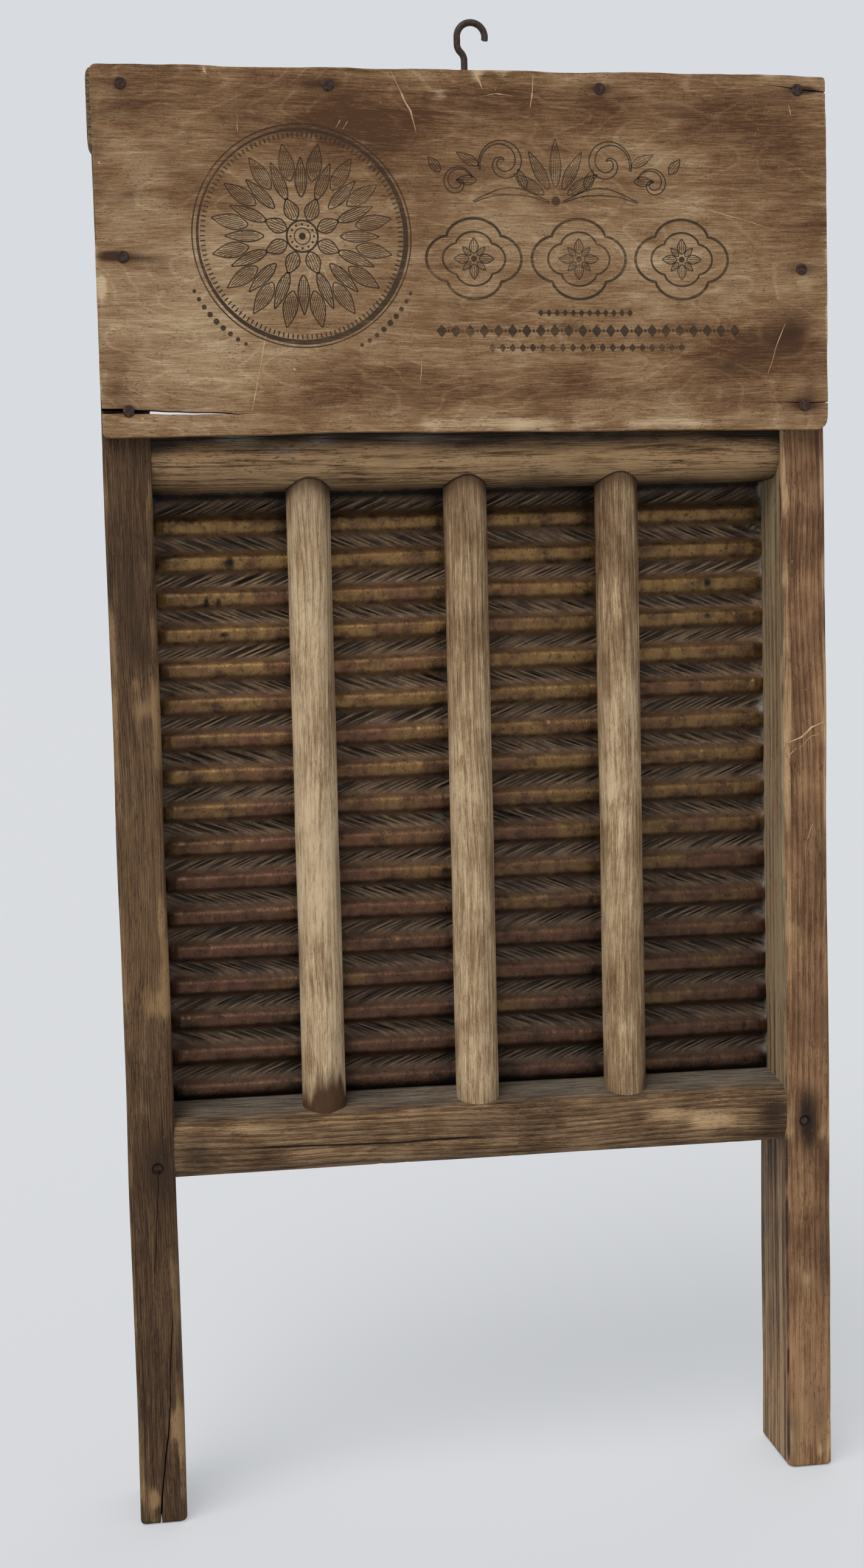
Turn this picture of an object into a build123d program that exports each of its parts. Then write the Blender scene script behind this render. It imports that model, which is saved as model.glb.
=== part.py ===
from build123d import *
import math
import os

# A wooden washboard with a corrugated brass rubbing sheet, standing upright on its two legs.
# Millimetres, +Z up.  X runs across the board.  The printed face looks along -Y and the rubbing
# face along +Y.  The origin is on the ground, at the middle of the width and of the whole depth.

# ---- driving dimensions ----------------------------------------------------------------------

BOARD_WIDTH = 318.0  # outside of one leg to the outside of the other
BOARD_HEIGHT = 628.5  # ground to the top of the header
LEG_WIDTH = 20.5
LEG_DEPTH = 40.0
EDGE_ROUND = 1.5  # worn long edges of the legs
FOOT_ROUND = 2.5

PANEL_THICK = 5.0
PANEL_HEIGHT = 154.0
PANEL_CORNER = 2.0

HEADER_HEIGHT = 32.0
HEADER_DEPTH = 20.0
HEADER_PROUD = 1.8  # how far each end of the header stands out of its leg

RAIL_HEIGHT = 30.0
RAIL_SETBACK = 1.2  # rail faces behind the legs' faces, on both sides
LOWER_RAIL_Z = 153.0  # underside of the lower rail
UPPER_RAIL_Z = 453.0  # underside of the upper rail
TENON_LENGTH = 14.0
TENON_THICK = 12.0
TENON_HEIGHT = 20.0
TENON_DEPTH = 15.0  # tenon's middle, behind the legs' printed-side face

SHEET_THICK = 0.6
SHEET_DEPTH = 29.5  # middle of the corrugation, behind the legs' printed-side face
RIDGE_PITCH = 15.7
RIDGE_RISE = 2.5  # ridge or valley, from the middle of the corrugation
FIRST_RIDGE_Z = 187.0  # lowest ridge that shows above the lower rail
GROOVE_WIDTH = 6.4
GROOVE_IN_LEG = 5.0
GROOVE_IN_RAIL = 11.0

DOWEL_DIAMETER = 19.6
DOWEL_X = (-71.5, -2.0, 66.5)
DOWEL_DEPTH = 14.0  # dowel's axis, behind the legs' printed-side face
DOWEL_SOCKET = 14.0  # how deep each end sits in its rail
DOWEL_PLAY = 0.1  # socket radius less dowel radius

NAIL_HEAD_DIAMETER = 5.4
NAIL_HEAD_THICK = 1.2
NAIL_PROUD = 0.5  # panel nail heads stand this far out of the panel
NAIL_SHANK = 2.6
SHORT_NAIL = 22.0
LONG_NAIL = 32.0
PIN_HEAD_DIAMETER = 3.8  # sunk nails that pin the lower rail's tenons
PIN_SUNK = 0.8
PIN_LENGTH = 26.0

HOOK_WIRE = 2.9
HOOK_X = 1.3
HOOK_DEPTH = 10.0  # hook's plane, behind the legs' printed-side face
HOOK_SCREW = 16.0  # length in the header
HOOK_NECK = 8.0  # straight shank above the header
HOOK_SWAY = 3.0  # sideways step of the shank, to the left
HOOK_STEP = 7.0  # height of that step
HOOK_LOOP = 6.1  # loop radius, at the middle of the wire

# ---- places worked out from them -------------------------------------------------------------

TOTAL_DEPTH = LEG_DEPTH + PANEL_THICK + NAIL_PROUD
FACE_Y = PANEL_THICK + NAIL_PROUD - TOTAL_DEPTH / 2  # the legs' printed-side face
BACK_Y = FACE_Y + LEG_DEPTH
PANEL_Y = FACE_Y - PANEL_THICK  # the panel's printed face
PANEL_Z = BOARD_HEIGHT - PANEL_HEIGHT
HEADER_Z = BOARD_HEIGHT - HEADER_HEIGHT
LEG_X = (BOARD_WIDTH - LEG_WIDTH) / 2
INNER_X = BOARD_WIDTH / 2 - LEG_WIDTH  # inner faces of the legs
SHEET_Y = FACE_Y + SHEET_DEPTH
DOWEL_Y = FACE_Y + DOWEL_DEPTH
TENON_Y = FACE_Y + TENON_DEPTH
HOOK_Y = FACE_Y + HOOK_DEPTH
TOP_OF_LOWER_RAIL = LOWER_RAIL_Z + RAIL_HEIGHT
RAIL_FRONT = FACE_Y + RAIL_SETBACK
RAIL_BACK = BACK_Y - RAIL_SETBACK
GROOVE_FRONT = SHEET_Y - GROOVE_WIDTH / 2
GROOVE_BACK = SHEET_Y + GROOVE_WIDTH / 2

# Nails as (x, z) on the printed side.
CORNER_NAILS = [(-146.4, 620.5), (145.9, 622.5)]
HEADER_NAILS = [(-59.7, 621.3), (57.4, 621.5)]
LEFT_SIDE_NAILS = [(-147.6, 549.6), (-147.4, 485.8)]
RIGHT_SIDE_NAILS = [(147.2, 545.6), (148.0, 486.4)]
LEFT_PINS = [(-146.3, 159.8)]
RIGHT_PINS = [(147.2, 163.5)]
PANEL_NAILS = CORNER_NAILS + HEADER_NAILS + LEFT_SIDE_NAILS + RIGHT_SIDE_NAILS


def facing_plane(y):
    """Upright plane at y, drawn on from the printed side: local x is X and local y is Z."""
    return Plane.XZ.offset(-y)


def drill(places, diameter, from_y, to_y):
    """Cut round holes along +Y into the part being built."""
    with BuildSketch(facing_plane(from_y)) as holes:
        with Locations(*places):
            Circle(diameter / 2)
    extrude(holes.sketch, amount=from_y - to_y, mode=Mode.SUBTRACT)


def build_leg(side, side_nails, pins):
    """One leg: side is -1 for the left one and 1 for the right one."""
    inner_x = side * INNER_X
    with BuildPart() as leg:
        with BuildSketch(Plane.XY):
            with Locations((side * LEG_X, FACE_Y + LEG_DEPTH / 2)):
                RectangleRounded(LEG_WIDTH, LEG_DEPTH, EDGE_ROUND)
        extrude(amount=BOARD_HEIGHT)
        fillet(leg.faces().sort_by(Axis.Z)[0].edges(), FOOT_ROUND)
        # Notch that takes the end of the header, open at the top and on the printed side.
        with BuildSketch(Plane.XY.offset(HEADER_Z)):
            with Locations((side * LEG_X, FACE_Y + HEADER_DEPTH / 2)):
                Rectangle(LEG_WIDTH, HEADER_DEPTH)
        extrude(amount=HEADER_HEIGHT, mode=Mode.SUBTRACT)
        # Groove for the edge of the brass sheet, hidden at both ends by the rails.
        groove_bottom = TOP_OF_LOWER_RAIL - GROOVE_IN_RAIL
        groove_top = UPPER_RAIL_Z + GROOVE_IN_RAIL
        with BuildSketch(Plane.XY.offset(groove_bottom)):
            with Locations((inner_x + side * GROOVE_IN_LEG / 2, SHEET_Y)):
                Rectangle(GROOVE_IN_LEG, GROOVE_WIDTH)
        extrude(amount=groove_top - groove_bottom, mode=Mode.SUBTRACT)
        # Blind mortises for the tenons of the two rails.
        for rail_z in (LOWER_RAIL_Z, UPPER_RAIL_Z):
            with BuildSketch(Plane.XY.offset(rail_z + (RAIL_HEIGHT - TENON_HEIGHT) / 2)):
                with Locations((inner_x + side * TENON_LENGTH / 2, TENON_Y)):
                    Rectangle(TENON_LENGTH, TENON_THICK)
            extrude(amount=TENON_HEIGHT, mode=Mode.SUBTRACT)
        corner_nail = [place for place in CORNER_NAILS if place[0] * side > 0]
        drill(corner_nail, NAIL_SHANK, PANEL_Y, PANEL_Y + LONG_NAIL)
        drill(side_nails, NAIL_SHANK, PANEL_Y, PANEL_Y + SHORT_NAIL)
        drill(pins, NAIL_SHANK, FACE_Y, FACE_Y + PIN_LENGTH)
        drill(pins, PIN_HEAD_DIAMETER, FACE_Y, FACE_Y + PIN_SUNK + NAIL_HEAD_THICK)
    return leg


def add_tenons(rail_z):
    """A tenon on each end of the rail being built."""
    middle_x = INNER_X + TENON_LENGTH / 2
    with BuildSketch(Plane.XY.offset(rail_z + (RAIL_HEIGHT - TENON_HEIGHT) / 2)) as tenons:
        with Locations((-middle_x, TENON_Y), (middle_x, TENON_Y)):
            Rectangle(TENON_LENGTH, TENON_THICK)
    extrude(tenons.sketch, amount=TENON_HEIGHT)


def cut_dowel_sockets(from_z, to_z):
    """Blind round sockets for the dowels in the rail being built."""
    with BuildSketch(Plane.XY.offset(from_z)) as sockets:
        with Locations(*[(x, DOWEL_Y) for x in DOWEL_X]):
            Circle(DOWEL_DIAMETER / 2 + DOWEL_PLAY)
    extrude(sockets.sketch, amount=to_z - from_z, mode=Mode.SUBTRACT)


def build_dowel(x):
    """One round rod that backs the brass sheet, with its axis at x."""
    bottom = TOP_OF_LOWER_RAIL - DOWEL_SOCKET
    with BuildPart() as dowel:
        with BuildSketch(Plane.XY.offset(bottom)):
            with Locations((x, DOWEL_Y)):
                Circle(DOWEL_DIAMETER / 2)
        extrude(amount=UPPER_RAIL_Z + DOWEL_SOCKET - bottom)
        chamfer(dowel.edges().filter_by(GeomType.CIRCLE), 0.8)
    return dowel


def build_nails(places, front_y, length, head_diameter):
    """Round nails driven along +Y, each a solid of its own, the head's top at front_y."""
    tip = length - 1.5 * NAIL_SHANK
    with BuildPart() as nails:
        with BuildSketch(facing_plane(front_y)):
            with Locations(*places):
                Circle(head_diameter / 2)
        extrude(amount=-NAIL_HEAD_THICK)
        fillet(nails.edges().group_by(Axis.Y)[0], NAIL_HEAD_THICK / 4)
        with BuildSketch(facing_plane(front_y + NAIL_HEAD_THICK)):
            with Locations(*places):
                Circle(NAIL_SHANK / 2)
        extrude(amount=-(tip - NAIL_HEAD_THICK))
        with BuildSketch(facing_plane(front_y + tip)):
            with Locations(*places):
                Circle(NAIL_SHANK / 2)
        extrude(amount=-(length - tip), taper=18)
    return nails


os.makedirs("parts", exist_ok=True)

# ---- legs ------------------------------------------------------------------------------------

left_leg = build_leg(-1, LEFT_SIDE_NAILS, LEFT_PINS)
left_leg.part.label = "left_leg"
export_step(left_leg.part, "parts/left_leg.step")

right_leg = build_leg(1, RIGHT_SIDE_NAILS, RIGHT_PINS)
right_leg.part.label = "right_leg"
export_step(right_leg.part, "parts/right_leg.step")

# ---- header rail: lies in the legs' notches, with the hook screwed into its top ---------------

with BuildPart() as header_rail:
    with BuildSketch(facing_plane(FACE_Y)):
        with Locations((0, HEADER_Z + HEADER_HEIGHT / 2)):
            Rectangle(BOARD_WIDTH + 2 * HEADER_PROUD, HEADER_HEIGHT)
    extrude(amount=-HEADER_DEPTH)
    fillet(header_rail.faces().sort_by(Axis.X)[0].edges(), EDGE_ROUND)
    fillet(header_rail.faces().sort_by(Axis.X)[-1].edges(), EDGE_ROUND)
    drill(CORNER_NAILS, NAIL_SHANK, PANEL_Y, PANEL_Y + LONG_NAIL)
    drill(HEADER_NAILS, NAIL_SHANK, PANEL_Y, PANEL_Y + SHORT_NAIL)
    with BuildSketch(Plane.XY.offset(BOARD_HEIGHT)):
        with Locations((HOOK_X, HOOK_Y)):
            Circle(HOOK_WIRE / 2)
    extrude(amount=-HOOK_SCREW, mode=Mode.SUBTRACT)
header_rail.part.label = "header_rail"
export_step(header_rail.part, "parts/header_rail.step")

# ---- upper rail: round lower front edge, grooved below for the sheet, sloped soap ledge above --

with BuildPart() as upper_rail:
    with BuildSketch(Plane.YZ.offset(-INNER_X)):
        with BuildLine():
            round_front = 13.0
            top = UPPER_RAIL_Z + RAIL_HEIGHT
            lip = RAIL_BACK - 4.0
            front = Line((RAIL_FRONT, top), (RAIL_FRONT, UPPER_RAIL_Z + round_front))
            RadiusArc(front @ 1, (RAIL_FRONT + round_front, UPPER_RAIL_Z), round_front)
            Polyline(
                (RAIL_FRONT + round_front, UPPER_RAIL_Z),
                (RAIL_BACK, UPPER_RAIL_Z),
                (RAIL_BACK, top - 4.0),
                (lip, top),
                (RAIL_FRONT, top),
            )
        make_face()
    extrude(amount=2 * INNER_X)
    add_tenons(UPPER_RAIL_Z)
    with BuildSketch(Plane.XY.offset(UPPER_RAIL_Z)):
        with Locations((0, SHEET_Y)):
            Rectangle(2 * INNER_X, GROOVE_WIDTH)
    extrude(amount=GROOVE_IN_RAIL, mode=Mode.SUBTRACT)
    cut_dowel_sockets(UPPER_RAIL_Z, UPPER_RAIL_Z + DOWEL_SOCKET)
upper_rail.part.label = "upper_rail"
export_step(upper_rail.part, "parts/upper_rail.step")

# ---- lower rail: top slopes forward, front rounded above and below, grooved above for the sheet -

with BuildPart() as lower_rail:
    with BuildSketch(Plane.YZ.offset(-INNER_X)):
        with BuildLine():
            round_top = 6.0
            round_bottom = 9.0
            slope_drop = 3.0
            shoulder = (RAIL_FRONT + round_top, TOP_OF_LOWER_RAIL - slope_drop)
            front = Line(
                (RAIL_FRONT, shoulder[1] - round_top),
                (RAIL_FRONT, LOWER_RAIL_Z + round_bottom),
            )
            RadiusArc(front @ 1, (RAIL_FRONT + round_bottom, LOWER_RAIL_Z), round_bottom)
            Polyline(
                (RAIL_FRONT + round_bottom, LOWER_RAIL_Z),
                (RAIL_BACK - 3.0, LOWER_RAIL_Z),
                (RAIL_BACK, LOWER_RAIL_Z + 3.0),
                (RAIL_BACK, TOP_OF_LOWER_RAIL - 3.0),
                (RAIL_BACK - 3.0, TOP_OF_LOWER_RAIL),
                (GROOVE_FRONT, TOP_OF_LOWER_RAIL),
                shoulder,
            )
            RadiusArc(shoulder, front @ 0, round_top)
        make_face()
    extrude(amount=2 * INNER_X)
    add_tenons(LOWER_RAIL_Z)
    with BuildSketch(Plane.XY.offset(TOP_OF_LOWER_RAIL)):
        with Locations((0, SHEET_Y)):
            Rectangle(2 * INNER_X, GROOVE_WIDTH)
    extrude(amount=-GROOVE_IN_RAIL, mode=Mode.SUBTRACT)
    cut_dowel_sockets(TOP_OF_LOWER_RAIL, TOP_OF_LOWER_RAIL - DOWEL_SOCKET)
    drill(LEFT_PINS + RIGHT_PINS, NAIL_SHANK, FACE_Y, FACE_Y + PIN_LENGTH)
lower_rail.part.label = "lower_rail"
export_step(lower_rail.part, "parts/lower_rail.step")

# ---- face panel: thin board nailed over the header and the tops of the legs --------------------

with BuildPart() as face_panel:
    with BuildSketch(facing_plane(PANEL_Y)):
        with Locations((0, PANEL_Z + PANEL_HEIGHT / 2)):
            RectangleRounded(BOARD_WIDTH, PANEL_HEIGHT, PANEL_CORNER)
    extrude(amount=-PANEL_THICK)
    drill(PANEL_NAILS, NAIL_SHANK, PANEL_Y, FACE_Y)
    drill(PANEL_NAILS, NAIL_HEAD_DIAMETER, PANEL_Y, PANEL_Y + NAIL_HEAD_THICK - NAIL_PROUD)
face_panel.part.label = "face_panel"
export_step(face_panel.part, "parts/face_panel.step")

# ---- brass sheet: one even corrugation, of equal arcs that meet at its middle plane ------------

sheet_bottom = TOP_OF_LOWER_RAIL - GROOVE_IN_RAIL
sheet_top = UPPER_RAIL_Z + GROOVE_IN_RAIL
half_pitch = RIDGE_PITCH / 2
wave_bottom = FIRST_RIDGE_Z - 1.5 * half_pitch  # a middle point, just under the lowest ridge's valley
arc_radius = (RIDGE_RISE**2 + (half_pitch / 2) ** 2) / (2 * RIDGE_RISE)
half_waves = math.floor((sheet_top - wave_bottom) / half_pitch)

with BuildPart() as brass_sheet:
    with BuildSketch(Plane.YZ.offset(-INNER_X - GROOVE_IN_LEG)):
        with BuildLine() as wave:
            Line((SHEET_Y, sheet_bottom), (SHEET_Y, wave_bottom))
            for i in range(half_waves):
                start_z = wave_bottom + i * half_pitch
                way = 1 if i % 2 == 0 else -1
                ThreePointArc(
                    (SHEET_Y, start_z),
                    (SHEET_Y + way * RIDGE_RISE, start_z + half_pitch / 2),
                    (SHEET_Y, start_z + half_pitch),
                )
            Line((SHEET_Y, wave_bottom + half_waves * half_pitch), (SHEET_Y, sheet_top))
        trace(line_width=SHEET_THICK)
    extrude(amount=2 * (INNER_X + GROOVE_IN_LEG))
brass_sheet.part.label = "brass_sheet"
export_step(brass_sheet.part, "parts/brass_sheet.step")

# ---- dowels --------------------------------------------------------------------------------------

for name, x in zip(("dowel_left", "dowel_middle", "dowel_right"), DOWEL_X):
    dowel = build_dowel(x)
    dowel.part.label = name
    export_step(dowel.part, f"parts/{name}.step")

# ---- hanging hook: wire with a sideways step, bent round into an open loop ------------------------

with BuildPart() as hanging_hook:
    loop_x = HOOK_X - HOOK_SWAY + HOOK_LOOP
    neck_z = BOARD_HEIGHT + HOOK_NECK
    loop_z = neck_z + HOOK_STEP + HOOK_LOOP / 2
    mouth = math.radians(-12)
    with BuildLine(facing_plane(HOOK_Y)) as bend:
        shank = Line((HOOK_X, BOARD_HEIGHT - HOOK_SCREW), (HOOK_X, neck_z))
        middle = (HOOK_X - HOOK_SWAY / 2, neck_z + HOOK_STEP / 2)
        sway = TangentArc(shank @ 1, middle, tangent=shank % 1)
        sway_back = TangentArc(sway @ 1, (HOOK_X - HOOK_SWAY, neck_z + HOOK_STEP), tangent=sway % 1)
        side = Line(sway_back @ 1, (HOOK_X - HOOK_SWAY, loop_z))
        ThreePointArc(
            side @ 1,
            (loop_x, loop_z + HOOK_LOOP),
            (loop_x + HOOK_LOOP * math.cos(mouth), loop_z + HOOK_LOOP * math.sin(mouth)),
        )
    with BuildSketch(Plane.XY.offset(BOARD_HEIGHT - HOOK_SCREW)):
        with Locations((HOOK_X, HOOK_Y)):
            Circle(HOOK_WIRE / 2)
    sweep(path=bend.wire())
hanging_hook.part.label = "hanging_hook"
export_step(hanging_hook.part, "parts/hanging_hook.step")

# ---- nails ----------------------------------------------------------------------------------------

head_y = PANEL_Y - NAIL_PROUD

corner_nails = build_nails(CORNER_NAILS, head_y, LONG_NAIL, NAIL_HEAD_DIAMETER)
corner_nails.part.label = "corner_nails"
export_step(corner_nails.part, "parts/corner_nails.step")

header_nails = build_nails(HEADER_NAILS, head_y, SHORT_NAIL, NAIL_HEAD_DIAMETER)
header_nails.part.label = "header_nails"
export_step(header_nails.part, "parts/header_nails.step")

side_nails = build_nails(LEFT_SIDE_NAILS + RIGHT_SIDE_NAILS, head_y, SHORT_NAIL, NAIL_HEAD_DIAMETER)
side_nails.part.label = "side_nails"
export_step(side_nails.part, "parts/side_nails.step")

rail_nails = build_nails(LEFT_PINS + RIGHT_PINS, FACE_Y + PIN_SUNK, PIN_LENGTH - PIN_SUNK, PIN_HEAD_DIAMETER)
rail_nails.part.label = "rail_nails"
export_step(rail_nails.part, "parts/rail_nails.step")
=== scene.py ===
import math

import bmesh
import bpy
import numpy as np
from mathutils import Matrix, Vector


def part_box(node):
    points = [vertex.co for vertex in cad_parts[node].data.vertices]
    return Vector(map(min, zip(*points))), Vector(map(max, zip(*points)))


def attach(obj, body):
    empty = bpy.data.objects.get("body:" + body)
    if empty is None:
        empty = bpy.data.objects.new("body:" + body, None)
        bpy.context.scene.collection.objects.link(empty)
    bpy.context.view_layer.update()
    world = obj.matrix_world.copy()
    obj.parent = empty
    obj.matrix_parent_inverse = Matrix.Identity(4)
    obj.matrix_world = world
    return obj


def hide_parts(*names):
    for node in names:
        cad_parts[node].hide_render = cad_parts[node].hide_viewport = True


# Aged wooden washboard with a crimped brass sheet, seen from its printed side.
# Metres, in the frame's axes: X across the board, -Y towards the printed side, +Z up.

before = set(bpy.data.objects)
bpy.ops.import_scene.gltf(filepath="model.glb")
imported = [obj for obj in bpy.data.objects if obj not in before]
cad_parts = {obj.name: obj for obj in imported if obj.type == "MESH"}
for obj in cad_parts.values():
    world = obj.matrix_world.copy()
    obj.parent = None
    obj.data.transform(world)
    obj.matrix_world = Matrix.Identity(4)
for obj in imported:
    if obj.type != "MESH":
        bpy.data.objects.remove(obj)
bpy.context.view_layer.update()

# ---- places read from the frame ----------------------------------------------------------------

MM = 0.001
LEFT_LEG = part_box("left_leg")
RIGHT_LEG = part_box("right_leg")
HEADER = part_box("header_rail")
UPPER_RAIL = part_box("upper_rail")
LOWER_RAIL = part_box("lower_rail")
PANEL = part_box("face_panel")
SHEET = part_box("brass_sheet")
DOWELS = {node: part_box(node) for node in ("dowel_left", "dowel_middle", "dowel_right")}
PANEL_NAILS = ("corner_nails", "header_nails", "side_nails")
FACE_Y = LEFT_LEG[0].y  # the legs' printed-side face
PANEL_Y = PANEL[0].y  # the panel's printed face
INNER_X = RIGHT_LEG[0].x  # inner face of the right leg; the left one is at -INNER_X
SHEET_Y = (SHEET[0].y + SHEET[1].y) / 2

# ---- shapes that the frame doesn't give ---------------------------------------------------------

RIDGE_PITCH = 15.7 * MM
RIDGE_Z = 187.0 * MM  # middle of the lowest ridge that shows
RIDGE_RISE = 2.3 * MM
SHEET_THICK = 0.5 * MM
TOP_LIFT = 1.5 * MM  # of the ridges beside the upper rail
SHEET_TILT = 3.0 * MM  # rise of the upper ridges from the left leg to the right one
CRIMP_SPACING = 7.9 * MM  # along the valley
CRIMP_SLOPE = 0.40  # rise over run of one crimp
CRIMP_ZONE = 0.40  # share of the pitch that the crimps take up
RAIL_TILT = 2.4 * MM  # rise of the upper rail's lower edge from left to right
UPPER_EDGE_RADIUS = 13 * MM  # of the upper rail's lower front edge
LEG_COUNTS = (39, 36, 15, 36)  # points along a leg's printed face, right side, back and left side
LEG_ARC = 5  # points round each of its edges
SHANK_SHARE = 0.42  # radius of a nail's shank as a share of its head's
INK_RISE = 0.03 * MM  # of printed and scratched marks above their face
INK_SINK = 0.15 * MM  # and below it

# ---- numbers with a smooth random look ----------------------------------------------------------


def cell_random(seed, x, y, z):
    """A repeatable number from 0 to 1 for each whole-number cell."""
    mixed = (x * 374761393 + y * 668265263 + z * 1440662683 + seed * 1274126177) & 0xFFFFFFFF
    mixed = ((mixed ^ (mixed >> 13)) * 1274126177) & 0xFFFFFFFF
    mixed = ((mixed ^ (mixed >> 15)) * 2246822519) & 0xFFFFFFFF
    return (mixed ^ (mixed >> 16)) / 0xFFFFFFFF


def noise(seed, x, y=0.0, z=0.0):
    """Smooth noise from -1 to 1, with features about one unit across."""
    places = np.broadcast_arrays(*[np.asarray(v, float) for v in (x, y, z)])
    cells = [np.floor(v).astype(np.int64) for v in places]
    parts = [v - c for v, c in zip(places, cells)]
    blends = [p * p * (3 - 2 * p) for p in parts]
    total = np.zeros(places[0].shape)
    for corner in range(8):
        steps = (corner & 1, corner >> 1 & 1, corner >> 2 & 1)
        weight = np.ones(total.shape)
        for step, blend in zip(steps, blends):
            weight = weight * (blend if step else 1 - blend)
        total += weight * cell_random(seed, *[c + s for c, s in zip(cells, steps)])
    return total * 2 - 1


def layered(seed, x, y=0.0):
    """Three layers of noise, each half as strong and half as large as the one before."""
    return sum(noise(seed + k, x * 2**k, y * 2**k) / 2**k for k in range(3))


def clamp(value, high=1):
    """The value held between 0 and high."""
    return np.clip(value, 0, high)


def bell(gap, width):
    """1 at no gap, a third at one width and nothing beyond about two, on both sides."""
    return np.exp(-((gap / width) ** 2))


def fall(gap, width):
    """1 at no gap, and a third as much with each width further away."""
    return np.exp(-gap / width)


def spots(a, b, places):
    """Sum of soft ovals; each place is (a, b, half length along a, along b, strength)."""
    total = np.zeros(np.broadcast(a, b).shape)
    for at_a, at_b, long_a, long_b, strength in places:
        total += strength * bell(a - at_a, long_a) * bell(b - at_b, long_b)
    return total


# ---- mesh helpers -------------------------------------------------------------------------------


def put(name, data):
    """A new object in the scene."""
    made = bpy.data.objects.new(name, data)
    bpy.context.scene.collection.objects.link(made)
    return made


def show(mesh, material, masks, node=None):
    """A smooth piece on the frame with one float attribute for each mask, in place of a CAD node."""
    for mask, values in masks.items():
        layer = mesh.attributes.new(mask, "FLOAT", "POINT")
        layer.data.foreach_set("value", np.asarray(values, np.float32).ravel())
    mesh.shade_smooth()
    mesh.materials.append(material)
    piece = put(mesh.name, mesh)
    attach(piece, "root")
    if node:
        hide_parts(node)
    return piece


def add_mesh(name, points, faces, material, masks, node=None, sharp=40):
    """A piece from points and faces, smooth but at edges sharper than an angle in degrees."""
    mesh = bpy.data.meshes.new(name)
    mesh.from_pydata(np.asarray(points).tolist(), [], faces)
    outwards = bmesh.new()
    outwards.from_mesh(mesh)
    bmesh.ops.recalc_face_normals(outwards, faces=outwards.faces)
    outwards.to_mesh(mesh)
    outwards.free()
    show(mesh, material, masks, node)
    mesh.set_sharp_from_angle(angle=math.radians(sharp))


def wood_masks(wear_and_highlight, stain_and_shade, tone=0.0, gap_and_shadow=0.0, dust_and_sheen=0.0):
    """The five masks that every wooden piece carries."""
    values = {"wear_and_highlight": wear_and_highlight, "stain_and_shade": stain_and_shade, "tone": tone, "gap_and_shadow": gap_and_shadow, "dust_and_sheen": dust_and_sheen}
    return {mask: np.broadcast_to(value, np.shape(wear_and_highlight)) for mask, value in values.items()}


def ring_faces(rings, points):
    """Quads between closed rings that follow each other, and a cap at each end."""
    faces = []
    for low in range(0, (rings - 1) * points, points):
        for p in range(points):
            q = (p + 1) % points
            faces.append((low + p, low + q, low + points + q, low + points + p))
    return [*faces, tuple(range(points - 1, -1, -1)), tuple(range((rings - 1) * points, rings * points))]


def loft(name, rings, nears, gaps_and_shadows, paint, material, node):
    """A closed bar through rings of points, with the looks that paint gives each point."""
    rings = np.array(rings)
    worn, stained_and_shaded, tone, dust_and_sheen = paint(*np.moveaxis(rings, -1, 0), np.array(nears))
    masks = wood_masks(worn, stained_and_shaded, tone, np.array(gaps_and_shadows), dust_and_sheen)
    add_mesh(name, rings.reshape(-1, 3), ring_faces(*rings.shape[:2]), material, masks, node)


def rounded_outline(corners, radii, counts, arc_points):
    """Points of a polygon with rounded corners, and how near each is to a corner, from 0 to 1.

    counts says how many points lie along the side that follows each corner."""
    corners = np.array(corners, float)
    arcs = []
    for before, at, after, radius in zip(np.roll(corners, 1, 0), corners, np.roll(corners, -1, 0), radii):
        way_in = (at - before) / np.linalg.norm(at - before)
        way_out = (after - at) / np.linalg.norm(after - at)
        turn = math.acos(np.clip(way_in @ way_out, -1, 1))
        start = at - way_in * radius * math.tan(turn / 2)
        left = np.array([-way_in[1], way_in[0]])
        angles = np.linspace(0, turn, arc_points)[:, None]
        arcs.append(start + radius * (left * (1 - np.cos(angles)) + way_in * np.sin(angles)))
    points, nearness = [], []
    for arc, following, count in zip(arcs, arcs[1:] + arcs[:1], counts):
        side = following[0] - arc[-1]
        shares = np.arange(1, count + 1) / (count + 1)
        points += [arc, arc[-1] + side * shares[:, None]]
        gaps = np.minimum(shares, 1 - shares) * np.linalg.norm(side)
        nearness += [np.ones(arc_points), fall(gaps, 2.5 * MM)]
    return np.concatenate(points), np.concatenate(nearness)


def circle(count):
    """Angles spaced evenly round a circle."""
    return np.linspace(0, 2 * math.pi, count, endpoint=False)


def around(x, z, radius, turns):
    """The points at some angles round (x, z)."""
    return np.stack([x + radius * np.cos(turns), z + radius * np.sin(turns)], axis=-1)


def leftward(path, closed=False):
    """Unit vectors to the left of a path, one for each of its points."""
    if closed:
        along = np.roll(path, -1, axis=0) - np.roll(path, 1, axis=0)
    else:
        along = np.gradient(path, axis=0)
    along = along / np.maximum(np.linalg.norm(along, axis=1, keepdims=True), 1e-12)
    return np.stack([-along[:, 1], along[:, 0]], axis=1)


def outward(outline):
    """Unit normals of a closed anticlockwise outline."""
    return -leftward(outline, closed=True)


def draw_in(points, depth):
    """An outline shrunk about its middle so that each of its sides comes in by depth."""
    middle = (points.min(0) + points.max(0)) / 2
    half = (points.max(0) - points.min(0)) / 2
    return middle + (points - middle) * (1 - depth / half)


def end_rounding(start, end, radius, step):
    """Stations from start to end, closer at both ends, and how far the outline is drawn in there."""
    turns = np.linspace(0, math.pi / 2, 5)
    depth = radius * (1 - np.cos(turns))
    drawn = radius * (1 - np.sin(turns))
    middle = np.arange(start + radius + step, end - radius - step / 2, step)
    places = np.concatenate([start + depth, middle, end - depth[::-1]])
    return places, np.concatenate([drawn, np.zeros(len(middle)), drawn[::-1]])


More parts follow.
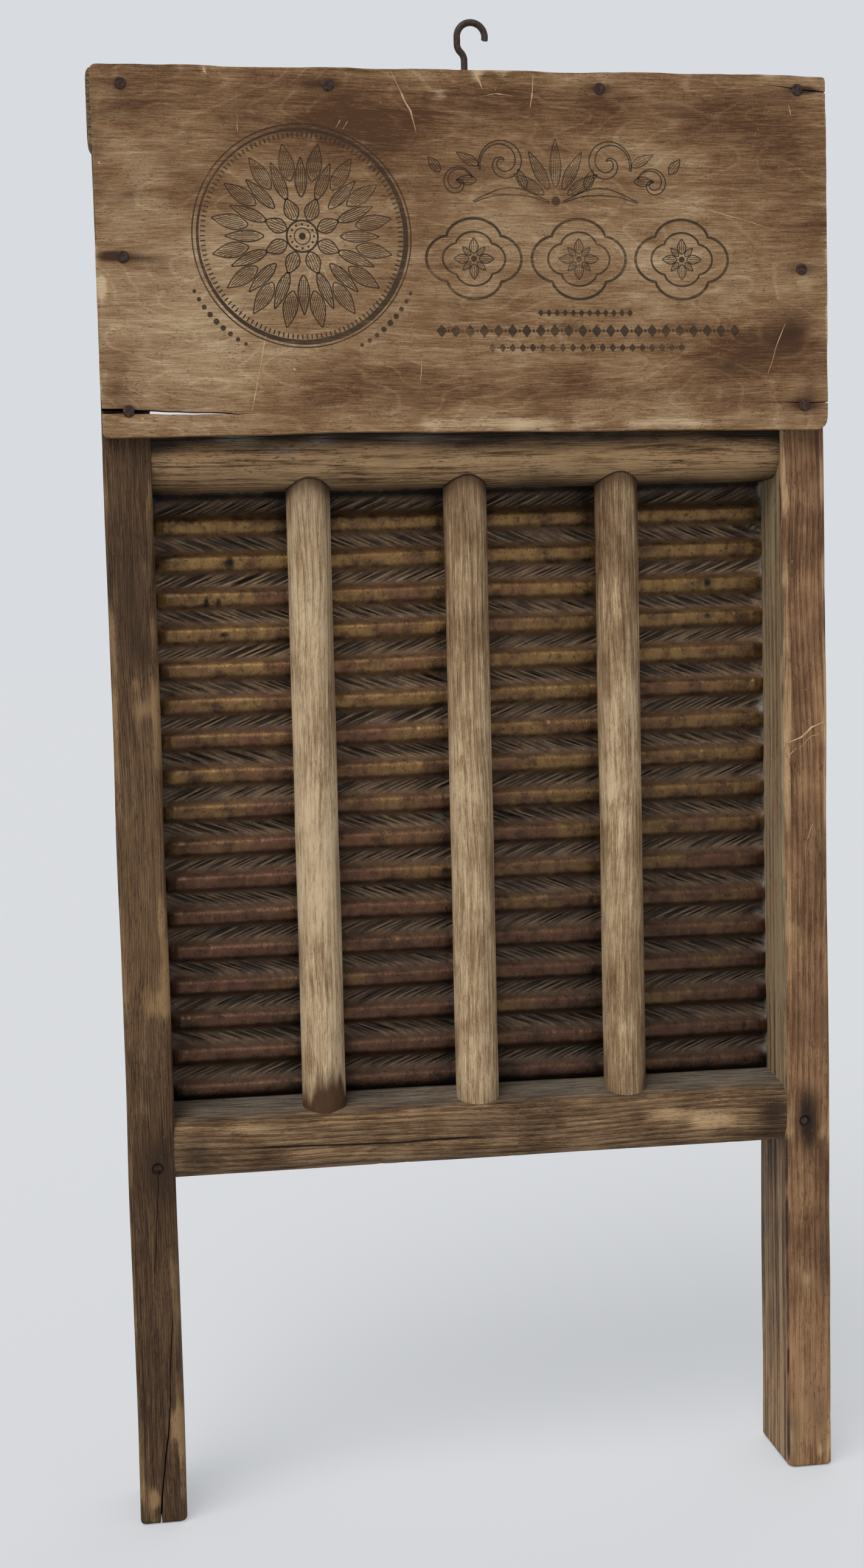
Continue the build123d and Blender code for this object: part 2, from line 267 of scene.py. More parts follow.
def add_stations(places, drawn, extra):
    """The stations with extra ones in order among them, where the outline isn't drawn in."""
    every = np.concatenate([places, extra])
    order = np.argsort(every)
    return every[order], np.concatenate([drawn, np.zeros(len(extra))])[order]


def across_board(x):
    """0 at the left leg's inner face and 1 at the right one's."""
    return clamp((x + INNER_X) / (2 * INNER_X))


def nail_places(node):
    """X, front, back, Z and head radius of each nail of a CAD node, from its separate islands."""
    solid = bmesh.new()
    solid.from_mesh(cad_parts[node].data)
    bmesh.ops.remove_doubles(solid, verts=solid.verts, dist=0.01 * MM)
    left = set(solid.verts)
    places = []
    while left:
        island, queue = set(), [next(iter(left))]
        while queue:
            vertex = queue.pop()
            if vertex not in island:
                island.add(vertex)
                queue += [e.other_vert(vertex) for e in vertex.link_edges]
        left -= island
        at = np.array([v.co for v in island])
        low, high = at.min(0), at.max(0)
        middle = (low + high) / 2
        places.append((middle[0], low[1], high[1], middle[2], (high[0] - low[0]) / 2))
    solid.free()
    return sorted(places)


# ---- shader helpers -----------------------------------------------------------------------------


def srgb(red, green, blue):
    """Linear colour for a screen colour given as three numbers up to 255."""
    shares = [v / 255 for v in (red, green, blue)]
    linear = [v / 12.92 if v <= 0.04045 else ((v + 0.055) / 1.055) ** 2.4 for v in shares]
    return (*linear, 1.0)


class Wire:
    """One shader value, which can be added, subtracted and multiplied."""

    def __init__(self, shader, socket):
        self.shader = shader
        self.socket = socket

    def __add__(self, other):
        return self.shader.math("ADD", self, other)

    def __sub__(self, other):
        return self.shader.math("SUBTRACT", self, other)

    def __rsub__(self, other):
        return self.shader.math("SUBTRACT", other, self)

    def __mul__(self, other):
        return self.shader.math("MULTIPLY", self, other)


class Shader:
    """Short names for building one material's nodes. Colours are three screen numbers up to 255."""

    def __init__(self, name):
        self.material = bpy.data.materials.new(name)
        self.material.use_nodes = True
        self.tree = self.material.node_tree
        self.surface = self.tree.nodes["Principled BSDF"]
        self.place = self.node("ShaderNodeTexCoord", "Object")

    def node(self, kind, output, inputs=(), **settings):
        """One output of a new node with the given inputs, by name or number, and settings."""
        made = self.tree.nodes.new(kind)
        for setting, value in settings.items():
            setattr(made, setting, value)
        for socket, value in dict(inputs).items():
            self.link(value, made.inputs[socket])
        return Wire(self, made.outputs[output])

    def link(self, value, socket):
        if isinstance(value, Wire):
            self.tree.links.new(value.socket, socket)
        else:
            socket.default_value = value

    def math(self, operation, a, b=0.0):
        return self.node("ShaderNodeMath", 0, {0: a, 1: b}, operation=operation)

    def vector(self, operation, a, b, output=0):
        return self.node("ShaderNodeVectorMath", output, {0: a, 1: b}, operation=operation)

    def noise(self, scale, detail=3.0, roughness=0.55, place=None, output="Fac"):
        """Noise with one scale or one for each axis."""
        scales = [float(v) for v in np.broadcast_to(scale, 3)]
        stretched = self.vector("MULTIPLY", place or self.place, scales)
        inputs = {"Vector": stretched, "Scale": 1.0, "Detail": detail, "Roughness": roughness}
        return self.node("ShaderNodeTexNoise", output, inputs)

    def band(self, value, low, high):
        """0 below low, 1 above high and a smooth step between."""
        inputs = {"Value": value, "From Min": low, "From Max": high}
        return self.node("ShaderNodeMapRange", "Result", inputs, interpolation_type="SMOOTHSTEP")

    def ramp(self, value, stops):
        made = self.node("ShaderNodeValToRGB", "Color", {"Fac": value})
        elements = made.socket.node.color_ramp.elements
        while len(elements) < len(stops):
            elements.new(0.5)
        for element, (place, colour) in zip(elements, stops):
            element.position = place
            element.color = srgb(*colour)
        return made

    def mix(self, factor, a, b):
        """Colour a where the factor is 0 and colour b where it is 1."""
        first, second = [srgb(*c) if isinstance(c, tuple) else c for c in (a, b)]
        return self.node("ShaderNodeMix", 2, {0: factor, 6: first, 7: second}, data_type="RGBA")

    def mask(self, name):
        return self.node("ShaderNodeAttribute", "Fac", attribute_name=name)

    def bump(self, height, depth, strength=1.0):
        inputs = {"Height": height, "Distance": depth, "Strength": strength}
        self.link(self.node("ShaderNodeBump", "Normal", inputs), self.surface.inputs["Normal"])

    def finish(self, colour, roughness, gloss=0.5, metallic=0.0):
        values = {"Base Color": colour, "Roughness": roughness, "Metallic": metallic}
        values["Specular IOR Level"] = gloss
        for socket, value in values.items():
            self.link(value, self.surface.inputs[socket])
        return self.material


# ---- materials ----------------------------------------------------------------------------------


def wood(
    name, axis, tones, worn, stained_and_shaded, pith, ring_gap, rings=0.5, fibres=1.0, blotches=0.8,
    run=1.0, grain=1.0, flecks=0.6, figure=0.0, relief=0.35, pale_dust_and_sheen=(118, 112, 102),
):
    """Old bare wood with its grain along one axis, 0 for X and 2 for Z.

    tones are its colours from dark to light, and pith is a point on the tree's middle. rings, fibres,
    blotches, flecks and figure are the strengths of its marks, run is how long its streaks are, grain
    how fine and relief how deep, in millimetres. The tone mask shifts the colour, and the other four lighten
    worn places and painted highlights, darken stains and painted shade, add dusty patches and painted
    sheen, and darken open cracks, a sunk nail's rim and painted contact shadows."""
    s = Shader(name)

    def lengthwise(along, across):
        """One number along the grain and another for the two axes across it."""
        return [along if k == axis else across for k in range(3)]

    def streaks(along, across, detail=1.0, roughness=0.55):
        """Noise drawn out along the bent grain."""
        return s.noise(lengthwise(along / run, across * grain), detail, roughness, bent)

    drift = s.vector("ADD", s.noise(lengthwise(5, 14), 1.5, output="Color"), (-0.5, -0.5, -0.5))
    bent = s.vector("ADD", s.place, s.vector("MULTIPLY", drift, lengthwise(0.0, 0.011)))
    middle = [0.0 if k == axis else -pith[k] for k in range(3)]
    spoke = s.vector("ADD", s.vector("MULTIPLY", bent, lengthwise(0.0, 1.0)), middle)
    reach = s.vector("LENGTH", spoke, (0.0, 0.0, 0.0), "Value")
    phase = s.math("FRACT", s.math("DIVIDE", reach, ring_gap) + streaks(4, 40) * 2.4)
    late = s.band(phase, 0.25, 0.90) - s.band(phase, 0.90, 1.0)
    fibre = streaks(16, 1500, 3.0, 0.62)
    hair = streaks(45, 3600)
    coarse = streaks(7, 330, 2.0)
    blotch = s.noise(lengthwise(34, 62), 5.0, 0.6)
    contour = s.math("FRACT", s.noise(lengthwise(11, 26), 1.5) * 17.0) - 0.5
    marks = [
        (fibre, 0.80 * fibres), (hair, 0.50 * fibres), (coarse, 0.50 * fibres), (blotch, blotches),
        (s.noise(11, 2.0), 0.4 * blotches), (s.noise(1500, 1.0), 0.20),
        (s.band(s.math("ABSOLUTE", contour), 0.36, 0.50), 0.14 * figure),
    ]
    tone = late * (-0.42 * rings)
    for mark, strength in marks:
        tone = tone + mark * strength
    level = sum(strength for _, strength in marks) / 2 - 0.20 * rings
    tone = tone - (level - 0.5) + s.mask("tone")
    stops = [(0.12 + 0.76 * k / (len(tones) - 1), tones[k]) for k in range(len(tones))]
    # worn places, and a painted highlight along the right leg's arris
    wear_and_highlight = s.mask("wear_and_highlight") * (blotch * 1.3 + 0.35) + (fibre - 0.5) * 0.9
    colour = s.mix(s.band(wear_and_highlight, 0.35, 1.10), s.ramp(tone, stops), worn)
    # stains, and painted shade on the upper rail, the dowels and the right leg's edge
    stain_and_shade = s.mask("stain_and_shade") * (blotch * 1.4 + 0.30) + (coarse - 0.5) * 0.35
    colour = s.mix(s.band(stain_and_shade, 0.08, 1.10), colour, stained_and_shaded)
    # dusty patches, and on the upper rail's front a painted sheen
    dust_and_sheen = s.mask("dust_and_sheen") * (fibre * 1.6 - 0.2)
    colour = s.mix(s.band(dust_and_sheen, 0.10, 1.0), colour, pale_dust_and_sheen)
    fleck = s.band(streaks(110, 2100), 0.60, 0.68) * s.band(streaks(30, 80), 0.38, 0.62) * flecks
    colour = s.mix(fleck, colour, stained_and_shaded)
    chip = s.band(streaks(190, 700, 2.0), 0.70, 0.76) * 0.4
    colour = s.mix(chip, colour, worn)
    # dark in open cracks and round a sunk nail's rim, and painted contact shadow where the dowels meet the
    # rail
    colour = s.mix(s.mask("gap_and_shadow"), colour, (22, 15, 11))
    s.bump(fibre * 0.9 + hair * 0.35 + late * (0.5 * rings) - fleck * 0.4, relief * MM)
    return s.finish(colour, blotch * 0.2 + 0.66, gloss=0.14)


def aged_brass():
    """Tarnished brass: golden ridges that turn coppery lower down, dark grimy valleys with painted shade,
    and painted highlights on the crimps.
    """
    s = Shader("aged_brass")
    x, z = [s.node("ShaderNodeSeparateXYZ", axis, {0: s.place}) for axis in ("X", "Z")]
    up = s.band(z, LOWER_RAIL[1].z + 20 * MM, UPPER_RAIL[0].z - 10 * MM)
    right = s.band(x, -60 * MM, 110 * MM)
    blotch = s.noise((90, 90, 130), 6.0, 0.68)
    streak = s.noise((330, 330, 110), 5.0, 0.66)
    grit = s.noise(1100, 3.0, 0.6)
    speck = s.band(s.noise(480, 2.0), 0.60, 0.70)
    golden = s.band(up * 0.8 + s.noise((34, 34, 40)) * 3.0 + right * 0.25, 1.55, 2.4)
    ridge = s.mix(golden, (114, 77, 57), (139, 107, 64))
    ridge = s.mix(s.band(blotch, 0.42, 0.70), ridge, (78, 54, 40))
    ridge = s.mix(s.band(streak, 0.48, 0.66) * 0.42, ridge, (66, 47, 34))
    ridge = s.mix(s.band(streak, 0.42, 0.28) * 0.30, ridge, (160, 132, 92))
    valley = s.mix(s.band(blotch, 0.38, 0.66), (92, 70, 54), (134, 107, 81))
    crest = s.mask("crest") + (blotch - 0.5) * 0.6
    colour = s.mix(s.band(crest, 0.25, 0.75), valley, ridge)
    # painted highlight: pale streaks on the crimps' flanks that face the key light, and glints near the
    # ridges' left ends
    highlight = s.mask("rib_highlight") * (blotch * 1.9 - 0.1)
    colour = s.mix(s.band(highlight, 0.15, 0.95), colour, (158, 132, 100))
    colour = s.mix(speck * 0.5, colour, (42, 31, 25))
    # the crimps' grooves darkened almost to black: tarnish in the hollows, deepened as painted shade
    colour = s.mix(s.mask("groove") * 0.86, colour, (20, 14, 11))
    # painted shade and grime: darkens the valleys under the ridges, the sheet beside the dowels, legs and
    # rails, its dents and its dark spots, less towards the top
    grime_and_shade = s.mask("grime_and_shade") + (blotch - 0.5) * 1.2 + (grit - 0.5) * 0.8 - up * 0.20
    colour = s.mix(s.band(grime_and_shade, 0.0, 1.0), colour, (24, 18, 15))
    chalk = s.mask("chalk") * (blotch * 2.2 - 0.45)
    colour = s.mix(s.band(chalk, 0.25, 0.8), colour, (118, 113, 101))
    colour = s.mix((1.0 - up) * 0.43 + right * 0.18, colour, (22, 15, 12))
    s.bump(blotch + streak * 0.5 + grit * 0.35, 0.45 * MM, 0.8)
    roughness = s.band(crest, 0.3, 0.9) * -0.18 + (blotch * 0.35 + 0.42)
    return s.finish(colour, roughness, metallic=s.band(crest, 0.1, 0.9) * 0.35 + 0.35)


def rusted_iron(name, dark, rust, gloss):
    """Old iron, dark with dull rust."""
    s = Shader(name)
    patch = s.noise(700, 4.0, 0.65)
    s.bump(patch, 0.2 * MM, 0.8)
    return s.finish(s.ramp(patch, [(0.36, dark), (0.66, rust)]), patch * 0.3 + 0.5, gloss)


def printing_ink():
    """Faded dark ink that lets the wood show through where the fibres have worn."""
    s = Shader("printing_ink")
    fade = s.noise(30, 4.0, 0.6)
    cover = (1.0 - s.band(s.noise((60, 60, 1500)) * 0.55 + fade * 0.75, 0.55, 1.02)) * 0.80
    clear = s.node("ShaderNodeBsdfTransparent", 0)
    ink = Wire(s, s.surface.outputs[0])
    blend = s.node("ShaderNodeMixShader", 0, {0: cover, 1: clear, 2: ink})
    s.link(blend, s.tree.nodes["Material Output"].inputs["Surface"])
    return s.finish(s.ramp(fade, [(0.35, (50, 40, 32)), (0.7, (68, 54, 43))]), 0.8, gloss=0.2)


def scratched_wood():
    """Fresh wood laid bare by a scratch."""
    s = Shader("scratched_wood")
    stops = [(0.35, (150, 116, 82)), (0.65, (190, 158, 122))]
    return s.finish(s.ramp(s.noise(200), stops), 0.75, gloss=0.2)


def plain_floor():
    """Pale floor that glows a little, so that the shadows on it stay light."""
    s = Shader("plain_floor")
    s.surface.inputs["Emission Color"].default_value = (0.93, 0.96, 1.0, 1.0)
    s.surface.inputs["Emission Strength"].default_value = 0.36
    return s.finish(srgb(140, 142, 145), 0.9, gloss=0.0)


PANEL_WOOD = wood(
    "panel_wood", 0, [(76, 50, 32), (116, 87, 60), (146, 120, 91), (176, 153, 124)],
    worn=(182, 159, 128), stained_and_shaded=(62, 41, 27), pith=(0.0, 0.09, 0.50), ring_gap=3.4 * MM,
    rings=0.06, fibres=0.78, blotches=0.74, run=0.20, grain=1.15, figure=0.7, relief=0.18,
)
LEFT_WOOD = wood(
    "left_leg_wood", 2, [(50, 35, 24), (84, 63, 45), (112, 88, 63)],
    worn=(134, 107, 76), stained_and_shaded=(46, 33, 24), pith=(-0.30, 0.06, 0.0), ring_gap=0.95 * MM,
    rings=0.34, fibres=1.65, blotches=0.60, run=0.34, grain=1.7, flecks=0.7,
)
RIGHT_WOOD = wood(
    "right_leg_wood", 2, [(58, 38, 26), (104, 75, 53), (146, 113, 82)],
    worn=(170, 140, 104), stained_and_shaded=(40, 28, 22), pith=(0.33, 0.06, 0.0), ring_gap=2.3 * MM,
    rings=0.42, fibres=0.95, blotches=1.3, run=0.40, grain=1.3, pale_dust_and_sheen=(150, 142, 116),
)
RAIL_WOOD = wood(
    "rail_wood", 0, [(38, 26, 17), (98, 73, 49), (156, 126, 92)],
    worn=(160, 132, 98), stained_and_shaded=(42, 31, 24), pith=(0.0, 0.09, 0.42), ring_gap=2.4 * MM,
    rings=0.6, fibres=1.75, blotches=0.75, run=0.34, relief=0.6,
)
LOWER_RAIL_WOOD = wood(
    "lower_rail_wood", 0, [(42, 29, 20), (96, 73, 51), (150, 122, 92)],
    worn=(166, 138, 104), stained_and_shaded=(42, 31, 24), pith=(0.0, 0.09, 0.42), ring_gap=2.4 * MM,
    rings=0.45, fibres=1.25, blotches=1.05, run=0.30, grain=1.3, flecks=0.5, relief=0.6,
)
DOWEL_WOOD = wood(
    "dowel_wood", 2, [(88, 64, 43), (138, 113, 84), (193, 170, 138)],
    worn=(196, 174, 140), stained_and_shaded=(74, 52, 36), pith=(0.17, 0.08, 0.0), ring_gap=2.6 * MM,
    rings=0.35, fibres=1.35, blotches=1.1, run=0.26, grain=2.1, flecks=0.4,
)
BRASS = aged_brass()
SCRATCHED_WOOD = scratched_wood()
NAIL_IRON = rusted_iron("nail_iron", (36, 27, 26), (74, 55, 49), 0.12)
HOOK_IRON = rusted_iron("hook_iron", (32, 25, 23), (70, 52, 44), 0.3)

# ---- legs ---------------------------------------------------------------------------------------

# The left leg's crack: height in mm, share across the face from its outer edge to the inner one,
# half width and depth in mm.
LEFT_CRACK = [
    (0, 0.42, 0.5, 12), (5, 0.44, 0.38, 12), (17, 0.49, 0.28, 12), (29, 0.57, 0.26, 9),
    (43, 0.665, 0.25, 6), (54, 0.71, 0.2, 4), (70, 0.735, 0.17, 2), (91, 0.81, 0.12, 1),
    (97, 0.82, 0.05, 0), (105, 0.48, 0.05, 0), (113, 0.47, 0.1, 0.5), (128, 0.53, 0.13, 1.2),
    (156, 0.62, 0.15, 1.5), (160, 0.63, 0.05, 0), (629, 0.5, 0.05, 0),
]
# Worn and dark places on the legs' faces: share across from the left and height in mm, half sizes
# in the same units, strength.
LEFT_LEG_WORN = [
    (0.28, 9, 0.13, 8, 1.5), (0.84, 43, 0.17, 8.5, 1.5), (0.92, 36, 0.06, 9, 0.6),
    (0.35, 187, 0.25, 9, 0.45), (0.7, 234, 0.5, 9, 0.75), (0.95, 245, 0.25, 12, 0.7),
    (0.88, 271, 0.12, 11, 0.9), (0.66, 292, 0.2, 10, 0.35), (0.28, 308, 0.14, 8, 0.45),
    (0.6, 361, 0.45, 10, 0.65), (0.45, 372, 0.25, 6, 0.4), (0.7, 420, 0.16, 6, 0.6),
    (0.12, 400, 0.08, 30, 0.5), (0.1, 300, 0.06, 60, 0.4), (0.6, 100, 0.5, 20, 0.15),
]
LEFT_LEG_DARK = [
    (0.5, 150, 0.7, 28, 0.35), (0.75, 163, 0.35, 14, 0.7), (0.5, 430, 0.8, 45, 0.45),
    (0.7, 385, 0.4, 10, 0.45), (0.6, 252, 0.5, 6, 0.3), (0.8, 14, 0.25, 14, 0.35), (0.3, 80, 0.4, 30, 0.15),
]
RIGHT_LEG_WORN = [
    (0.8, 8, 0.18, 5, 1.4), (0.28, 40, 0.12, 26, 0.5), (0.42, 85, 0.16, 40, 0.55), (0.8, 161, 0.12, 8, 1.1),
    (0.3, 240, 0.22, 24, 0.5), (0.75, 256, 0.14, 6, 0.55), (0.4, 300, 0.4, 30, 0.25),
    (0.55, 345, 0.45, 25, 0.35), (0.5, 430, 0.5, 35, 0.4),
]
RIGHT_LEG_DARK = [
    (0.5, 160, 0.22, 12, 1.1), (0.45, 172, 0.3, 10, 0.6), (0.75, 470, 0.45, 8, 0.5),
    (0.85, 110, 0.22, 60, 0.45), (0.7, 25, 0.35, 16, 0.4), (0.1, 15, 0.12, 20, 0.6),
    (0.8, 210, 0.35, 14, 0.4), (0.82, 280, 0.2, 22, 0.55), (0.75, 382, 0.25, 10, 0.35),
]


def open_crack(section, z):
    """Opens the left leg's crack in one section, and says how dark each of its points is.

    The middle three points of the printed face become the crack's two edges and its floor."""
    low, high = LEFT_LEG
    heights, *values = np.array(LEFT_CRACK, float).T
    share, half, depth = [np.interp(z / MM, heights, value) for value in values]
    at = low.x + share * (high.x - low.x) + 0.12 * MM * noise(105, z / 0.004)
    face = section[LEG_ARC : LEG_ARC + LEG_COUNTS[0], 0]
    middle = len(face) // 2
    columns = [0, middle - 1, middle, middle + 1, len(face) - 1]
    edges = [face[0], at - half * MM, at, at + half * MM, face[-1]]
    face[:] = np.interp(range(len(face)), columns, edges)
    floor = LEG_ARC + middle
    section[floor, 1] += depth * MM
    opened = np.zeros(len(section))
    opened[floor] = min(1.0, depth / 1.5)
    opened[floor - 1 : floor + 2] += 0.1 * min(1.0, depth / 1.5)
    return opened


def make_leg(name, node, box, hole, seed, material, paint, cracked=False):
    """One leg as a lofted bar, notched at the top for the header, with worn edges.

    hole is the place of the sunk nail in its face, as x and z."""
    low, high = box
    hole_x, hole_z = hole
    notch_z = HEADER[0].z
    heights, drawn = end_rounding(0.0, high.z, 2.2 * MM, 2.4 * MM)
    clear = (np.abs(heights - hole_z) > 3.6 * MM) & (np.abs(heights - notch_z) > 1.0 * MM)
    closer = np.arange(hole_z - 3.2 * MM, hole_z + 3.3 * MM, 0.4 * MM)
    heights, drawn = add_stations(heights[clear], drawn[clear], [*closer, notch_z, notch_z])
    last_below = np.searchsorted(heights, notch_z)
    rings, nears, gaps_and_shadows = [], [], []
    for i, (z, inset) in enumerate(zip(heights, drawn)):
        above = i > last_below
        front = HEADER[1].y if above else low.y
        corners = [(low.x, front), (high.x, front), (high.x, high.y), (low.x, high.y)]
        radii = [(1.5 + 0.7 * noise(seed + k, z / 0.03, k)) * MM for k in range(4)]
        radii[0 if low.x > 0 else 1] += 1.6 * MM * clamp((UPPER_RAIL[0].z - z) / (8 * MM))
        section, near = rounded_outline(corners, radii, LEG_COUNTS, LEG_ARC)
        section[:, 0] += 0.25 * MM * noise(seed + 9, z / 0.05)
        opened = open_crack(section, z) if cracked and not above else 0.0
        x, y = section.T
        grain = noise(seed + 20, x / 0.0016, y / 0.0016, z / 0.05)
        pits = np.minimum(0, noise(seed + 30, x / 0.004, y / 0.004, z / 0.008) + 0.55)
        push = np.minimum(0.07 * grain + 0.5 * pits * near - 0.03, 0) * MM
        normal = outward(section)
        facing = normal[:, 1] < -0.9
        away = np.hypot(x - hole_x, z - hole_z)
        push = push - 1.1 * MM * clamp((2.5 * MM - away) / (0.4 * MM)) * facing
        gaps_and_shadows.append(clamp(opened + 0.85 * bell(away - 2.3 * MM, 0.4 * MM) * facing))
        section = draw_in(section + normal * push[:, None], inset)
        rings.append(np.column_stack([section, np.full(len(section), z)]))
        nears.append(near)
    loft(name, rings, nears, gaps_and_shadows, paint, material, node)


def paint_leg(box, seed, worn_places, dark_places, x, y, z, near):
    """Wear and stains of one leg: its placed patches on the printed side, and random ones all round."""
    across = (x - box[0].x) / (box[1].x - box[0].x)
    front = clamp((FACE_Y + 5 * MM - y) / (4 * MM))
    broken = 0.75 + 0.5 * noise(seed + 60, across * 6, z / 0.006)
    edge = 0.45 * near**4 * clamp(0.7 + 0.9 * noise(seed + 61, z / 0.018), 1.4)
    worn = 0.12 + edge + front * spots(across, z / MM, worn_places) * broken
    worn = worn + 0.35 * (1 - front) * clamp(noise(seed + 62, y / 0.02, z / 0.06))
    stained_and_shaded = front * spots(across, z / MM, dark_places)
    return worn, stained_and_shaded + 0.30 * clamp(noise(seed + 63, across * 2 + y / 0.02, z / 0.05))


def paint_left_leg(x, y, z, near):
    worn, stained_and_shaded = paint_leg(LEFT_LEG, 100, LEFT_LEG_WORN, LEFT_LEG_DARK, x, y, z, near)
    tone = np.interp(z, [0.0, 0.15, 0.25, 0.32, 0.36, 0.46], [-0.17, -0.19, 0.09, 0.07, -0.03, -0.10])
    return worn, stained_and_shaded, tone, 0.0


def paint_right_leg(x, y, z, near):
    """As its patches say, and its inner face is grooved and dusty, with a line of painted shade along its
    edge and a paler arris that is partly worn and partly painted highlight.
    """
    worn, stained_and_shaded = paint_leg(RIGHT_LEG, 200, RIGHT_LEG_WORN, RIGHT_LEG_DARK, x, y, z, near)
    inside = clamp((INNER_X + 1.2 * MM - x) / MM)
    above = clamp((z - LOWER_RAIL[0].z) / (20 * MM))
    grooves = noise(212, y / 0.0012, z / 0.09)
    tone = np.interp(z, [0.0, 0.15, 0.3, 0.48], [0.20, 0.12, 0.03, 0.04])
    tone = tone + inside * (0.54 * above - 0.22 + 0.45 * grooves)
    # painted shade: a dark line just inside the edge between the printed face and the inner face
    line = inside * bell(y - FACE_Y - 2.2 * MM, 1.1 * MM) * clamp(0.7 + noise(211, z / 0.01))
    # the arris itself paler: partly worn, partly painted highlight
    corner = fall(np.hypot(x - INNER_X, y - FACE_Y), 1.3 * MM) * clamp(0.7 + noise(213, z / 0.012))
    worn = worn * (1 - 0.6 * inside) + 0.6 * corner
    pale_dust_and_sheen = (0.48 + 0.36 * above) * (1 + 0.5 * grooves) * inside
    return worn, stained_and_shaded * (1 - corner) + 1.3 * line, tone, pale_dust_and_sheen


def make_legs():
    left_pin, right_pin = [(x, z) for x, _, _, z, _ in nail_places("rail_nails")]
    make_leg("left_leg_bar", "left_leg", LEFT_LEG, left_pin, 100, LEFT_WOOD, paint_left_leg, cracked=True)
    make_leg("right_leg_bar", "right_leg", RIGHT_LEG, right_pin, 200, RIGHT_WOOD, paint_right_leg)


# ---- rails --------------------------------------------------------------------------------------


def make_rail(name, node, seed, corners, radii, counts, arc, paint, material, crack=None, tilt=0.0):
    """One rail as a bar lofted along X, with the section that its corners give as (y, z).

    tilt is how much higher its lower edge is at the right end than at the left one."""
    end = INNER_X + 1.0 * MM  # a little inside the leg
    places = np.arange(-end, end + 1e-6, 2.3 * MM)
    places[-1] = end
    rings, nears, gaps_and_shadows = [], [], []
    for x in places:
        section, near = rounded_outline(corners, radii, counts, arc)
        low_z, high_z = section[:, 1].min(), section[:, 1].max()
        section[:, 1] += tilt * across_board(x) * (high_z - section[:, 1]) / (high_z - low_z)
        y, z = section.T
        grain = noise(seed, x / 0.045, y / 0.0014, z / 0.0014)
        fine = noise(seed + 1, x / 0.015, y / 0.0009, z / 0.0009)
        wave = noise(seed + 2, x / 0.05, y / 0.02, z / 0.02)
        nibble = np.minimum(0, noise(seed + 3, x / 0.006, y / 0.004, z / 0.004) + 0.45)
        push = (0.16 * grain + 0.07 * fine + 0.2 * wave - 0.35 + 0.6 * nibble * near) * MM
        opened = np.zeros(len(section))
        if crack:
            depth, gap_z, half = crack(x)
            groove = bell(z - gap_z, half) * (y < FACE_Y + 6 * MM)
            push = push - groove * depth
            opened = groove * min(1.0, depth / (0.8 * MM))
        section = section + outward(section) * push[:, None]
        rings.append(np.column_stack([np.full(len(section), x), section]))
        nears.append(near)
        gaps_and_shadows.append(opened)
    loft(name, rings, nears, gaps_and_shadows, paint, material, node)


def paint_upper_rail(x, y, z, near):
    up = z - UPPER_RAIL[0].z
    pale = [(-95, 8, 40, 4, 0.5), (-20, 12, 50, 4, 0.4), (55, 10, 50, 4, 0.5)]
    # painted sheen: pale blue-grey patches on the rail's front, where it would reflect the sky
    sheen_spots = [
        (-102, 22, 12, 4, 1.0), (-82, 16, 8, 3, 0.8), (-67, 21, 8, 4, 0.8), (-62, 4, 6, 3, 0.7),
        (-25, 21, 30, 3, 0.7), (50, 20, 40, 3, 0.45),
    ]
    worn = 0.27 + spots(x / MM, up / MM, pale) + 0.15 * noise(61, x / 0.03, z / 0.004)
    # painted shadow under the panel's lower edge and painted shade along the rail's rounded lower edge,
    # darker towards the legs, over random stains
    panel_shadow = clamp((z - (PANEL[0].z - 8 * MM)) / (8 * MM))
    ends = fall(INNER_X - np.abs(x), 8 * MM)
    lip_shade = fall(up - RAIL_TILT * across_board(x), 3.5 * MM)
    stained_and_shaded = 1.05 * panel_shadow + 0.5 * ends + 0.6 * lip_shade + 0.4 * clamp(noise(63, x / 0.03, z / 0.005))
    return worn, 0.85 * stained_and_shaded, 0.24, spots(x / MM, up / MM, sheen_spots) * (y < -5 * MM)


def paint_lower_rail(x, y, z, near):
    up = (z - LOWER_RAIL[0].z) / MM
    pale = [
        (-103, 22, 18, 2.5, 0.6), (-124, 28, 12, 2, 0.4), (84, 18, 14, 3, 0.7), (104, 13, 12, 4, 1.0),
        (50, 13, 30, 4, 0.3), (-20, 10, 50, 3, 0.2),
    ]
    dark = [(-130, 12, 10, 8, 0.5), (10, 20, 40, 6, 0.25), (133, 14, 8, 10, 0.8)]
    top = clamp((z - (LOWER_RAIL[1].z - 6 * MM)) / (4 * MM))
    worn = 0.15 + spots(x / MM, up, pale) + 0.05 * top + 0.12 * noise(71, x / 0.03, z / 0.004)
    stained_and_shaded = 0.15 + spots(x / MM, up, dark) - 0.1 * top + 0.3 * clamp(noise(73, x / 0.03, z / 0.005))
    return worn, stained_and_shaded, 0.04 - 0.28 * top, 0.92 * top


def paint_header(x, y, z, near):
    ends = clamp((np.abs(x) - (HEADER[1].x - 4 * MM)) / (3 * MM))
    worn = 0.3 + 0.3 * near + 0.2 * noise(83, x / 0.03, z / 0.01)
    return worn, 0.25 + 0.2 * ends, 0.0, 0.5 * ends


def lower_rail_crack(x):
    """Depth, height and half width of the long crack in the lower rail's face, at x."""
    span = clamp((x + 0.112) / 0.02) * clamp((0.012 - x) / 0.03)
    height = LOWER_RAIL[0].z + 11.5 * MM - 0.010 * x + 0.5 * MM * noise(75, x / 0.02)
    return 1.0 * MM * span, height, 0.5 * MM


